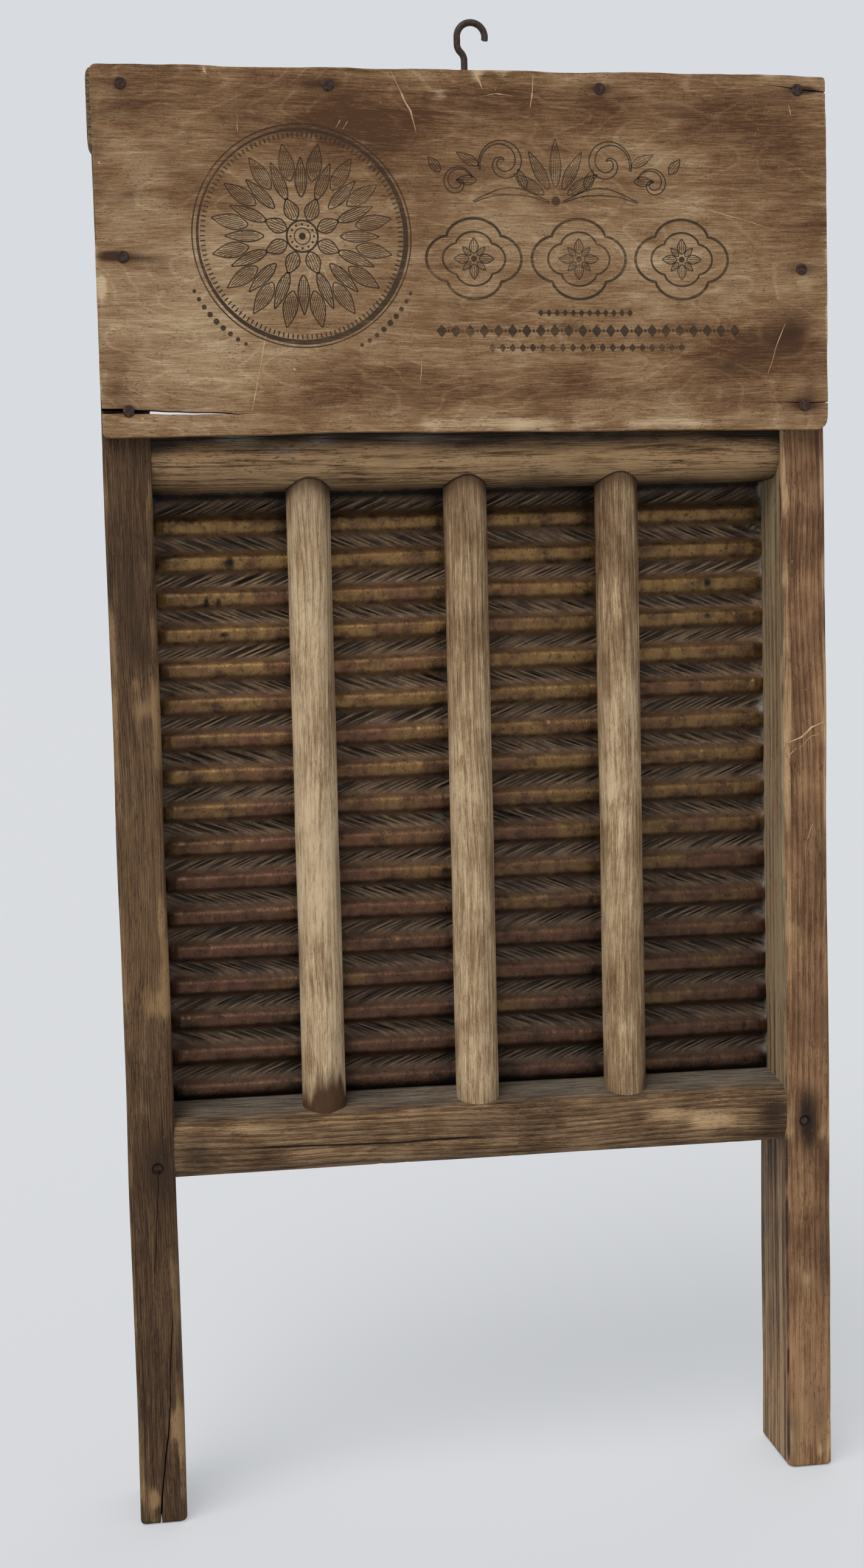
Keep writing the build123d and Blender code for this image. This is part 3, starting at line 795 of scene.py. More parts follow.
def make_rails():
    front, back = UPPER_RAIL[0].y, UPPER_RAIL[1].y
    low, high = UPPER_RAIL[0].z, UPPER_RAIL[1].z
    make_rail(
        "upper_rail_bar", "upper_rail", 60, [(front, low), (back, low), (back, high), (front, high)],
        [UPPER_EDGE_RADIUS, 2 * MM, 5 * MM, 1 * MM], (30, 30, 30, 34), 12, paint_upper_rail, RAIL_WOOD,
        tilt=RAIL_TILT,
    )
    low, high = LOWER_RAIL[0].z, LOWER_RAIL[1].z
    top = [(back, high), (SHEET[0].y, high), (front, high - 3.5 * MM)]
    make_rail(
        "lower_rail_bar", "lower_rail", 70, [(front, low), (back, low), *top],
        [9 * MM, 3 * MM, 3 * MM, 0.4 * MM, 6.5 * MM], (30, 24, 10, 22, 34), 9, paint_lower_rail,
        LOWER_RAIL_WOOD, crack=lower_rail_crack,
    )


def make_header():
    """The header rail, with weathered ends that bulge slightly out of the legs."""
    low, high = HEADER
    corners = [(low.y, low.z), (high.y, low.z), (high.y, high.z), (low.y, high.z)]
    radii = [1.0 * MM, 1.5 * MM, 1.5 * MM, 1.0 * MM]
    rings, nears = [], []
    for x, inset in zip(*end_rounding(low.x, high.x, 2.2 * MM, 3.0 * MM)):
        section, near = rounded_outline(corners, radii, (18, 28, 18, 28), 5)
        y, z = section.T
        grain = noise(81, x / 0.05, y / 0.0015, z / 0.0015)
        nibble = np.minimum(0, noise(82, x / 0.02, y / 0.02, z / 0.02) + 0.3)
        push = (0.05 * grain - 0.1 + 0.3 * nibble * near) * MM
        section = draw_in(section + outward(section) * push[:, None], 1.6 * inset)
        rings.append(np.column_stack([np.full(len(section), x), section]))
        nears.append(near)
    uncut = np.zeros_like(nears)
    loft("header_bar", rings, nears, uncut, paint_header, RAIL_WOOD, "header_rail")


# ---- face panel ---------------------------------------------------------------------------------

# Splits in the panel, from its left edge (-1) or its right edge (1), in mm: height at the edge, place
# of the tip and its rise, gap at the edge above and below the split's line.
PANEL_SPLITS = [
    {"side": -1, "z": 485.6, "tip_x": -94.5, "tip_rise": -1.4, "up": 1.5, "down": 0.8},
    {"side": 1, "z": 487.6, "tip_x": 122.0, "tip_rise": 0.4, "up": 0.25, "down": 0.25},
    {"side": 1, "z": 621.4, "tip_x": 127.0, "tip_rise": 3.6, "up": 0.5, "down": 0.3},
]
# Dark stains, worn places, and broad light and dark areas: x, z and half sizes in mm, strength.
PANEL_DARK = [
    (-145, 611, 16, 7, 0.45), (-95, 609, 13, 6, 0.45), (-128, 590, 18, 16, 0.3), (-144, 572, 9, 8, 0.5),
    (-136, 548.5, 16, 2.2, 0.75), (-150, 507, 6, 9, 0.45), (-152, 493, 7, 6, 0.6), (-153, 550, 8, 1.6, 1.2),
    (-66, 622.2, 8, 1.4, 0.9), (151, 622.5, 6, 1.4, 0.9), (-120, 487, 20, 2.2, 0.5), (-40, 596, 13, 8, 0.5),
    (-60, 616, 24, 5, 0.35), (-22, 561, 7, 12, 0.35), (-12, 531, 15, 4, 0.5), (-36, 488, 10, 4, 0.55),
    (-22, 488, 5, 2.5, 0.55), (-62, 505, 14, 4, 0.3), (30, 492, 50, 3, 0.4), (90, 490, 30, 3, 0.4),
    (60, 617, 20, 5, 0.45), (94, 609, 9, 8, 0.45), (132, 619, 20, 3.5, 0.6), (140, 595, 13, 14, 0.45),
    (106, 603, 14, 9, 0.3), (131, 513, 16, 7, 0.85), (118, 503, 16, 5, 0.7), (143, 520, 9, 12, 0.75),
    (150, 490, 8, 10, 0.8), (155, 560, 5, 20, 0.4), (-157, 590, 3, 20, 0.6), (60, 575, 30, 4, 0.2),
]
PANEL_WORN = [
    (-138, 596, 8, 6, 0.35), (-120, 528, 24, 15, 0.5), (-128, 503, 14, 9, 0.45), (-105, 500, 14, 10, 0.35),
    (-72, 563, 30, 24, 0.3), (-12, 618, 4, 4, 1), (-17, 610, 5, 6, 0.45), (-37, 611, 9, 4, 0.35),
    (12, 550, 16, 14, 0.35), (70, 550, 16, 12, 0.25), (93, 550, 24, 14, 0.38), (128, 546, 15, 8, 0.35),
    (20, 590, 25, 12, 0.25), (-157, 537, 2.2, 9, 1.6), (4, 626, 3, 3, 1.2), (16, 627, 3, 2, 1),
    (-112, 627, 2, 2, 1.3), (-150, 483, 10, 2, 0.8),
]
PANEL_TONES = [
    (-135, 612, 30, 12, -0.16), (-100, 612, 20, 10, -0.04), (-45, 604, 35, 20, -0.3),
    (-118, 576, 22, 14, -0.06), (-140, 585, 10, 10, 0.14), (-75, 562, 30, 22, 0.14),
    (-125, 522, 30, 24, 0.26), (-110, 500, 26, 12, 0.12), (-75, 512, 16, 10, 0.1), (-15, 556, 10, 30, -0.1),
    (10, 560, 22, 18, 0.06), (45, 552, 40, 16, 0.06), (95, 552, 26, 16, 0.14), (30, 614, 70, 10, -0.2),
    (140, 600, 20, 20, -0.14), (120, 608, 30, 10, -0.1), (-30, 494, 60, 10, -0.11),
    (50, 496, 60, 10, -0.12), (125, 508, 34, 16, -0.32), (140, 570, 20, 20, -0.16), (20, 505, 30, 8, 0.06),
    (-60, 494, 20, 10, -0.1),
]


def split_line(split, x):
    """Height of a split's line and its share of the full gap, at x."""
    tip_x = split["tip_x"] * MM
    share = clamp((x - tip_x) / (split["side"] * PANEL[1].x - tip_x))
    wander = 0.25 * MM * noise(91, x / 0.006)
    return (split["z"] + split["tip_rise"] * (1 - share)) * MM + wander, share**0.8


def round_corner(grid_x, grid_z, row, column, radius):
    """Draws the grid's outer points near one corner in to a round corner."""
    corner_x, corner_z = grid_x[row, column], grid_z[row, column]
    middle_x = corner_x - np.sign(corner_x) * radius
    middle_z = corner_z + (radius if row == 0 else -radius)
    near = (np.abs(grid_x - corner_x) < radius) & (np.abs(grid_z - corner_z) < radius)
    across, up = grid_x - middle_x, grid_z - middle_z
    span = np.maximum(np.abs(across), np.abs(up))
    scale = span / np.maximum(np.hypot(across, up), 1e-9)
    grid_x[near] = (middle_x + across * scale)[near]
    grid_z[near] = (middle_z + up * scale)[near]


def panel_grid():
    """The board's points in rows that follow its splits, drawn in to its worn outline."""
    low, high = PANEL
    columns = np.linspace(low.x, high.x, 161)
    marks = [low.z, *sorted(split["z"] * MM for split in PANEL_SPLITS), high.z]
    rows = [low.z]
    for start, end in zip(marks, marks[1:]):
        steps = max(2, round((end - start) / (2.2 * MM)))
        rows += list(np.linspace(start, end, steps + 1)[1:])
    rows = np.array(rows)
    grid_x, grid_z = np.meshgrid(columns, rows)
    for split in PANEL_SPLITS:
        pull = bell(rows - split["z"] * MM, 5 * MM)[:, None]
        beside = clamp((split["side"] * columns - 0.05) / 0.05)
        grid_z = grid_z + pull * beside * (split_line(split, columns)[0] - split["z"] * MM)
    grid_z[-1] += np.minimum(0.35 * MM * layered(92, columns / 0.02) - 0.25 * MM, 0)
    missing = np.interp(columns, [-0.15, -0.06, 0.16], [0.3 * MM, 2.0 * MM, 1.6 * MM])
    grid_z[0] += np.maximum(0.3 * MM * layered(93, columns / 0.03) + missing, 0)
    for column in (0, -1):
        inward = np.maximum(0.3 * MM * layered(94 + column, rows / 0.02) + 0.2 * MM, 0)
        grid_x[:, column] -= np.sign(columns[column]) * inward
    for row, column, radius in ((0, -1, 5.0), (0, 0, 2.5), (-1, 0, 3.0), (-1, -1, 1.5)):
        round_corner(grid_x, grid_z, row, column, radius * MM)
    return rows, columns, list(zip(grid_x.ravel(), grid_z.ravel()))


def part_splits(rows, columns, points):
    """Parts the points along each split, and returns the upper copy's index for each point moved down."""
    copies = {}
    for split in PANEL_SPLITS:
        row = int(np.argmin(np.abs(rows - split["z"] * MM)))
        share = split_line(split, columns)[1]
        for column in np.flatnonzero(share > 0):
            index = row * len(columns) + int(column)
            x, z = points[index]
            copies[index] = len(points)
            points.append((x, z + split["up"] * MM * share[column]))
            points[index] = (x, z - split["down"] * MM * share[column])
    return copies


def make_panel():
    """Thin board as one closed mesh, with real gaps where it has split."""
    rows, columns, points = panel_grid()
    copies = part_splits(rows, columns, points)
    width = len(columns)
    sheet = bmesh.new()
    corners = [sheet.verts.new((x, PANEL_Y, z)) for x, z in points]
    for row in range(len(rows) - 1):
        for at in range(row * width, (row + 1) * width - 1):
            quad = [copies.get(at, at), copies.get(at + 1, at + 1), at + width + 1, at + width]
            sheet.faces.new([corners[i] for i in quad])
    bmesh.ops.recalc_face_normals(sheet, faces=sheet.faces)
    added = bmesh.ops.extrude_face_region(sheet, geom=list(sheet.faces))["geom"]
    moved = [v for v in added if isinstance(v, bmesh.types.BMVert)]
    bmesh.ops.translate(sheet, verts=moved, vec=(0, PANEL[1].y - PANEL_Y, 0))
    bmesh.ops.recalc_face_normals(sheet, faces=sheet.faces)
    mesh = bpy.data.meshes.new("face_panel_board")
    sheet.to_mesh(mesh)
    sheet.free()
    places = np.array([v.co for v in mesh.vertices])
    masks = wood_masks(*paint_panel(places[:, 0], places[:, 2]))
    panel = show(mesh, PANEL_WOOD, masks, "face_panel")
    softened = panel.modifiers.new("worn_edges", "BEVEL")
    softened.width = 0.7 * MM
    softened.segments = 3
    softened.limit_method = "ANGLE"
    softened.angle_limit = math.radians(50)
    softened.harden_normals = True


def paint_panel(x, z):
    low, high = PANEL
    nails = [nail for node in PANEL_NAILS for nail in nail_places(node)]
    halo = [(nail_x / MM, nail_z / MM, 9, 2.2, 0.75) for nail_x, _, _, nail_z, _ in nails]
    broken = 0.8 + 0.45 * layered(97, x / 0.012, z / 0.004)
    stained_and_shaded = spots(x / MM, z / MM, halo) + spots(x / MM, z / MM, PANEL_DARK) * broken
    edge = np.minimum.reduce([x - low.x, high.x - x, z - low.z, high.z - z])
    ragged = 3.2 * MM * (1 + 0.5 * layered(95, x / 0.012))
    strip = bell(z - low.z - 5 * MM, ragged) * np.clip((x + 0.06) / 0.05, 0.25, 1)
    strip = strip * clamp((0.135 - x) / 0.03) * (0.68 + 0.4 * noise(98, x / 0.01, z / 0.003))
    rim = fall(edge, 1.2 * MM) * clamp(0.5 + 0.9 * noise(96, x / 0.012, z / 0.012), 1.3)
    worn = 0.05 + spots(x / MM, z / MM, PANEL_WORN) * broken + strip + 0.7 * rim
    return worn, stained_and_shaded - 0.3 * strip, 1.1 * spots(x / MM, z / MM, PANEL_TONES) - 0.02


# ---- dowels -------------------------------------------------------------------------------------

# Tone of each dowel at its bottom, middle and top, and strength of the stain at its lower end.
DOWEL_TONES = [(0.12, 0.28, 0.08), (0.10, 0.13, -0.13), (-0.10, 0.15, -0.13)]
DOWEL_FOOT_STAINS = [1.1, 0.25, 0.35]


def joint_line(x, y):
    """Height at which the upper rail's rounded lower edge meets a dowel's surface at x and y."""
    reach = UPPER_EDGE_RADIUS
    off = np.clip((y - UPPER_RAIL[0].y - reach) / reach, -1, 1)
    return UPPER_RAIL[0].z + RAIL_TILT * across_board(x) + reach * (1 - np.sqrt(1 - off**2)) * (off < 0)


def paint_dowel(which, turn, z):
    """Wear, stains and painted shade, and tone of one dowel; which is 0, 1 or 2 from the left."""
    up = (z - LOWER_RAIL[1].z) / (UPPER_RAIL[0].z - LOWER_RAIL[1].z)
    patch = noise(300 + which, np.cos(turn), np.sin(turn), z / 0.03)
    tone = np.interp(up, [0.05, 0.5, 0.95], DOWEL_TONES[which]) + 0.10 * patch
    ragged = 0.05 + 0.03 * noise(305 + which, np.cos(turn) * 3, np.sin(turn) * 3)
    foot = DOWEL_FOOT_STAINS[which] * clamp(1.5 - np.abs(up + 0.02) / ragged)
    stained_and_shaded = foot + 0.25 * clamp(patch) + 0.25 * bell(up - 1.0, 0.08)
    # painted shade: a dark, broken streak down the side of each dowel that faces away from the key light
    side = bell(np.angle(np.exp(1j * (turn + 0.55))), 0.30)  # turned to the right and a little forward
    stained_and_shaded = stained_and_shaded + 0.55 * side * clamp(0.5 + 0.9 * noise(330 + which, turn, z / 0.04))
    return 0.20 + 0.25 * clamp(-patch), stained_and_shaded, tone


def make_dowels():
    for which, (node, (low, high)) in enumerate(DOWELS.items()):
        middle_x, middle_y = (low.x + high.x) / 2, (low.y + high.y) / 2
        joint = np.arange(UPPER_RAIL[0].z - 2 * MM, high.z - 1.5 * MM, 0.45 * MM)
        heights, drawn = add_stations(*end_rounding(low.z, high.z, 0.8 * MM, 2.6 * MM), joint)
        turn, z = np.meshgrid(circle(56), heights)
        flute = noise(310 + which, np.cos(turn) * 5, np.sin(turn) * 5, z / 0.06)
        lump = noise(320 + which, np.cos(turn) * 1.5, np.sin(turn) * 1.5, z / 0.03)
        size = (high.x - low.x) / 2 - drawn[:, None] + (0.10 * flute + 0.15 * lump - 0.2) * MM
        x, y = middle_x + size * np.cos(turn), middle_y + size * np.sin(turn)
        worn, stained_and_shaded, tone = paint_dowel(which, turn, z)
        below = joint_line(x, y) - z
        # painted contact shadow: a thin dark line where the dowel goes into the rail, and painted shade for
        # a few millimetres below it
        gap_and_shadow = 0.85 * bell(below, 0.55 * MM) * (y < middle_y)
        masks = wood_masks(worn, stained_and_shaded + 0.5 * bell(below, 5 * MM), tone, gap_and_shadow)
        points = np.stack([x, y, z], axis=-1).reshape(-1, 3)
        add_mesh(node + "_rod", points, ring_faces(*z.shape), DOWEL_WOOD, masks, node)


# ---- brass sheet --------------------------------------------------------------------------------

# Dark spots and pale crusts on the sheet: x, z and half sizes in mm, strength.
SHEET_SPOTS = [
    (-105.6, 423.4, 2.8, 2.6, 1.3), (-116.6, 405.9, 1.6, 2, 1.2), (-111.2, 406.1, 1.4, 1.8, 1.1),
    (-109, 391.3, 2.6, 1.6, 1.2), (-133, 425, 6, 3, 0.5), (112.2, 410.3, 2.2, 2.4, 1.2),
    (112, 395, 2.6, 2, 1.2), (102.6, 441, 1.6, 1.2, 0.9), (121.1, 425.5, 1.2, 1.2, 0.9),
]
SHEET_CHALK = [
    (-14.3, 306.1, 2.8, 2.4, 1.3), (38.2, 337.7, 3.4, 1.4, 0.8), (137.2, 441.9, 1.4, 3, 1.2),
    (137.7, 350.9, 1.4, 4, 1.2), (-134, 427, 5, 1.2, 0.9),
]
# Layers of crimps: seed, shift along the valley in spacings, width and depth in mm, share left out.
CRIMP_LAYERS = [(11, 0.0, 0.54, 1.10, 0.0), (17, 0.52, 0.34, 0.6, 0.25), (23, 0.27, 0.28, 0.4, 0.35)]


def valley_place(x, z):
    """Which valley a place belongs to and how far it is above the valley's middle, in pitches."""
    lifted = z - TOP_LIFT * fall(UPPER_RAIL[0].z - z, 16 * MM)
    upper = clamp((z - 0.265) / 0.07)
    lifted = lifted - SHEET_TILT * across_board(x) * upper * upper * (3 - 2 * upper)
    phase = (lifted - RIDGE_Z) / RIDGE_PITCH
    valley = np.floor(phase)
    return valley, phase - valley - 0.5


def crimp_way(valley):
    """1 where a valley's crimps rise to the right, and -1 where they fall."""
    return np.where(valley % 2 == 0, 1.0, -1.0)


def crimps(x, z):
    """Depth of the slanted grooves pressed into the valleys, in metres, and the mask of the painted
    highlight on the groove flanks that face the light.
    """
    valley, up = valley_place(x, z)
    way = crimp_way(valley)
    row = valley.astype(np.int64)
    turn = (x - way * up * RIDGE_PITCH / CRIMP_SLOPE) / CRIMP_SPACING + cell_random(7, row, 0, 0)
    turn = turn + 0.12 * noise(403, x / 0.03, valley)
    across = CRIMP_SPACING * math.sin(math.atan(CRIMP_SLOPE))  # from one groove to the next
    depth = np.zeros(x.shape)
    lit = np.zeros(x.shape)
    for seed, offset, width, deepest, left_out in CRIMP_LAYERS:
        number = np.floor(turn + offset).astype(np.int64)
        chance = cell_random(seed, row, number, 0)
        other = cell_random(seed + 1, row, number, 0)
        gap = turn + offset - number - 0.5 + 0.30 * (other - 0.5) + 0.9 * up * (chance - 0.5)
        gap = gap * across
        half = CRIMP_ZONE / 2 * (0.85 + 0.4 * other)
        lens = clamp(1 - ((up - 0.05 * (chance - 0.5)) / half) ** 2)
        wide = width * MM * (0.35 + 0.65 * lens) * (0.75 + 0.7 * other)
        strong = np.where(chance < left_out, 0.0, 0.55 + 0.65 * chance) * lens
        depth += deepest * MM * strong * bell(gap, wide)
        # painted highlight along the flank of each groove that faces the key light
        lit += strong * bell(way * gap - 1.7 * wide, 0.75 * wide)
    bulge = 0.25 * MM * np.cos(2 * math.pi * turn) * clamp(1 - (up / 0.24) ** 2)
    return depth + bulge, lit


def sheet_surface(x, z):
    """How far the sheet stands out towards -Y from its mean plane, its crest and lit masks, and the
    depth of its grooves and dents in millimetres."""
    sway = 0.35 * MM * noise(401, x / 0.06, z / 0.03)
    _, up = valley_place(x, z + sway)
    crest = 0.5 - 0.5 * np.cos(2 * math.pi * up)
    swell = np.sin((crest - 0.5) * math.pi) * RIDGE_RISE * (1 + 0.10 * noise(402, x / 0.03, z / 0.012))
    depth, lit = crimps(x, z + sway)
    dents = clamp(noise(405, x / 0.004, z / 0.003) - 0.66) * 1.4 * MM * crest
    flatten = 0.25 + 0.75 * clamp((INNER_X - np.abs(x)) / (4.5 * MM)) ** 0.5
    return (swell - depth - dents) * flatten, crest, lit, depth / MM, dents / MM


def sheet_grid():
    """X and z of the sheet's points in rows, closer in the valleys and sheared to follow the crimps, and
    how far each point is above its valley's middle, in pitches."""
    edge_x = INNER_X + 1.2 * MM
    columns = np.linspace(-edge_x, edge_x, 400)
    ridge_rows = np.linspace(-0.5 + CRIMP_ZONE / 2, 0.5 - CRIMP_ZONE / 2, 11)
    crimp_rows = np.linspace(-CRIMP_ZONE / 2, CRIMP_ZONE / 2, 13)
    per_pitch = np.concatenate([ridge_rows[:-1], crimp_rows[:-1] + 0.5])
    rows = np.concatenate([RIDGE_Z + (k + per_pitch) * RIDGE_PITCH for k in range(-1, 19)])
    rows = rows[(rows > LOWER_RAIL[1].z - 6 * MM) & (rows < UPPER_RAIL[0].z + 6 * MM)]
    x, z = np.meshgrid(columns, rows)
    valley, up = valley_place(x, z)
    slide = crimp_way(valley) * np.clip(up, -CRIMP_ZONE / 2, CRIMP_ZONE / 2) * RIDGE_PITCH / CRIMP_SLOPE
    return x + slide * clamp((edge_x - np.abs(x)) / (14 * MM)), z, up


def sheet_grime_and_shade(x, z, up, dent):
    """Grime and painted shade beside the dowels and the frame, darker in dents and in spots, and painted
    shade under the ridges and beside the rails.
    """
    beside = np.zeros(x.shape)
    for low, high in DOWELS.values():
        gap = np.abs(x - (low.x + high.x) / 2) - (high.x - low.x) / 2
        beside = np.maximum(beside, fall(np.abs(gap), 3.5 * MM))
    seam = fall(INNER_X - np.abs(x), 4 * MM)
    shade = fall(UPPER_RAIL[0].z - z, 9 * MM) + fall(z - LOWER_RAIL[1].z, 5 * MM)
    grime_and_shade = 0.50 * beside + 0.5 * seam + 0.70 * clamp(shade) + 0.5 * clamp(dent)
    # the last term is painted shade in the band just under each ridge
    return grime_and_shade + spots(x / MM, z / MM, SHEET_SPOTS) + 0.45 * bell(up - 0.28, 0.08)


def shell_faces(tall, wide):
    """Faces of a closed shell from two equal grids of points, the front one's first."""
    count = tall * wide
    faces = []
    for row in range(tall - 1):
        for a in range(row * wide, (row + 1) * wide - 1):
            faces.append((a, a + 1, a + wide + 1, a + wide))
            faces.append((count + a, count + a + wide, count + a + wide + 1, count + a + 1))
    rim = [*range(wide), *range(2 * wide - 1, count, wide)]
    rim += [*range(count - 2, count - wide - 1, -1), *range(count - 2 * wide, 0, -wide)]
    return faces + [(a, count + a, count + b, b) for a, b in zip(rim, rim[1:] + rim[:1])]


def make_sheet():
    """The corrugated and crimped sheet as one thin closed shell."""
    x, z, up = sheet_grid()
    relief, crest, lit, groove, dent = sheet_surface(x, z)
    grime_and_shade = sheet_grime_and_shade(x, z, up, dent)
    # painted glints: short pale streaks on the ridges' flanks next to the left leg, added to the painted
    # highlight
    gleam = bell(x + INNER_X - 6 * MM, 9 * MM) * bell(np.abs(up) - 0.36, 0.07) * (up < 0)
    lit = lit + gleam * clamp(0.2 + 1.2 * noise(407, x / 0.0014, z / 0.008))
    crust = clamp(0.75 + 0.9 * noise(406, z / 0.006) - 0.35 * crest, 1.5)
    chalk = fall(INNER_X - x, 1.5 * MM) * crust
    y = SHEET_Y - relief - 0.9 * MM * clamp(chalk)
    chalk = chalk + spots(x / MM, z / MM, SHEET_CHALK)
    groove = clamp((groove - 0.15) / 0.60)
    half = SHEET_THICK / 2
    sides = [np.stack([x, y + off, z], axis=-1).reshape(-1, 3) for off in (-half, half)]
    masks = {"crest": (crest, 1 - crest), "rib_highlight": (lit, groove), "groove": (groove, 0 * groove)}
    masks |= {"grime_and_shade": (grime_and_shade, 0.6 * grime_and_shade), "chalk": (chalk, 0 * chalk)}
    masks = {name: np.concatenate([front.ravel(), back.ravel()]) for name, (front, back) in masks.items()}
    faces = shell_faces(*x.shape)
    add_mesh("crimped_sheet", np.concatenate(sides), faces, BRASS, masks, "brass_sheet", sharp=80)


# ---- nails and hook -----------------------------------------------------------------------------


def nail_mesh(place, seed):
    """Points and faces of one nail with a flat, slightly dented round head facing -Y."""
    x, front, back, z, radius = place
    length = (back - front) / MM
    turns = circle(28)
    profile = [(0.12, 0.16), (0.4, 0.10), (0.7, 0.06), (0.9, 0.12), (1.0, 0.34), (0.99, 0.7)]
    profile += [(SHANK_SHARE, 0.95), (SHANK_SHARE, length - 0.5), (0.1, length)]
    ragged = 1 - 0.05 * (1 + noise(seed, np.cos(turns) * 1.2, np.sin(turns) * 1.2))
    rings = []
    for share, depth in profile:
        dip = 0.06 * noise(seed + 1, np.cos(turns) * share * 2, np.sin(turns) * share * 2) * (depth < 0.5)
        across = around(x, z, share * radius * ragged, turns)
        rings.append(np.column_stack([across[:, 0], front + (depth + dip) * MM, across[:, 1]]))
    return np.concatenate(rings), ring_faces(len(profile), len(turns))


def make_nails():
    """Detailed nails in place of the plain ones."""
    for node in (*PANEL_NAILS, "rail_nails"):
        points, faces = np.zeros((0, 3)), []
        for k, place in enumerate(nail_places(node)):
            more, rings = nail_mesh(place, 500 + 10 * k)
            faces += [tuple(len(points) + v for v in face) for face in rings]
            points = np.concatenate([points, more])
        add_mesh(node + "_worn", points, faces, NAIL_IRON, {}, node, sharp=60)


def make_hook():
    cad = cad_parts["hanging_hook"]
    cad.data.materials.clear()
    cad.data.materials.append(HOOK_IRON)
    cad.data.shade_smooth()


# ---- print on the panel, and scratches ----------------------------------------------------------


def spiral(x, z, radius, start, turns, way):
    """Points that curl inwards round (x, z)."""
    shares = np.linspace(0, 1, 60)
    return around(x, z, radius * (1 - 0.88 * shares), start + way * turns * 2 * math.pi * shares)


class Print:
    """Collects flat strokes on an upright face as (x, z), in millimetres."""

    def __init__(self, face_y):
        self.face_y = face_y
        self.points = []
        self.faces = []

    def stroke(self, path, width, closed=False):
        """One ribbon along a path; width is one number or one for each point."""
        path = np.array(path, float) * MM
        side = leftward(path, closed) * np.broadcast_to(width, len(path))[:, None] * MM / 2
        base, n = len(self.points), len(path)
        for left, right in zip(path + side, path - side):
            for x, z in (left, right):
                self.points += [(x, self.face_y - INK_RISE, z), (x, self.face_y + INK_SINK, z)]
        for k in range(n if closed else n - 1):
            a, b = base + 4 * k, base + 4 * ((k + 1) % n)
            self.faces += [(a, a + 2, b + 2, b), (a + 1, b + 1, b + 3, a + 3)]
            self.faces += [(a, b, b + 1, a + 1), (a + 2, a + 3, b + 3, b + 2)]
        if not closed:
            a, b = base, base + 4 * (n - 1)
            self.faces += [(a, a + 1, a + 3, a + 2), (b, b + 2, b + 3, b + 1)]

    def ring(self, x, z, radius, width, points=120):
        self.stroke(around(x, z, radius, circle(points)), width, closed=True)

    def dot(self, x, z, radius):
        self.ring(x, z, radius / 2, radius, points=14)

    def foil(self, x, z, half_x, half_z, width):
        """An outline with four rounded lobes."""
        turns = circle(96)
        lobes = around(0, 0, 0.80 + 0.20 * np.abs(np.cos(2 * turns)) ** 0.8, turns)
        self.stroke((x, z) + lobes * (half_x, half_z), width, closed=True)

    def ribbon(self, path, halves, width):
        """The outline of a band of changing width along a path."""
        side = leftward(path) * halves[:, None]
        self.stroke(np.concatenate([path + side, (path - side)[::-1]]), width, closed=True)

    def leaf(self, x, z, turn, start, length, half, width, veins=1):
        """A pointed leaf that leaves (x, z) at an angle, with a few lines along it."""
        along, across = [(math.cos(a), math.sin(a)) for a in (turn, turn + math.pi / 2)]
        shares = np.linspace(0.02, 0.98, 18)
        reach = half * np.sin(math.pi * shares**0.8)

        def line(shares, off):
            return (x, z) + np.outer(start + length * shares, along) + np.outer(off, across)

        self.stroke(np.concatenate([line(shares, reach), line(shares, -reach)[::-1]]), width, closed=True)
        for k in range(-veins, veins + 1):
            off = k * half / (veins + 1)
            inside = shares[(reach > abs(off) + 0.7 * width) & (shares > 0.1) & (shares < 0.9)]
            if len(inside) > 3:
                self.stroke(line(inside, off), 0.55 * width)


def print_medallion(ink):
    """A coin-like ring with milled ticks round a plain rosette."""
    x, z = -72.3, 558.5
    ink.ring(x, z, 46.4, 0.55)
    turns = circle(140)
    ink.stroke(around(x, z, 44.2, turns), 1.6 + 0.7 * np.cos(turns + 0.7), closed=True)
    for turn in circle(130):
        ink.stroke([around(x, z, radius, turn) for radius in (43.0, 41.0)], 0.6)
    leaves = [(16, 0.5, 23, 16, 3.1, 0.55, 3), (16, 0.0, 16, 17, 2.4, 0.6, 2), (8, 0.5, 7, 10, 3.0, 0.6, 2)]
    for count, first, start, length, half, width, veins in leaves:
        for turn in circle(count) + 2 * math.pi * first / count:
            ink.leaf(x, z, turn, start, length, half, width, veins)
    ink.ring(x, z, 6.6, 0.8, points=60)
    ink.ring(x, z, 3.4, 0.45, points=40)
    for place in around(x, z, 5.0, circle(12)):
        ink.dot(*place, 0.5)
    ink.dot(x, z, 1.5)
    for middle in (-2.38, -0.78):
        for k in range(-4, 5):
            ink.dot(*around(x, z, 51.5, middle + 0.075 * k), 1.3 - 0.12 * abs(k))


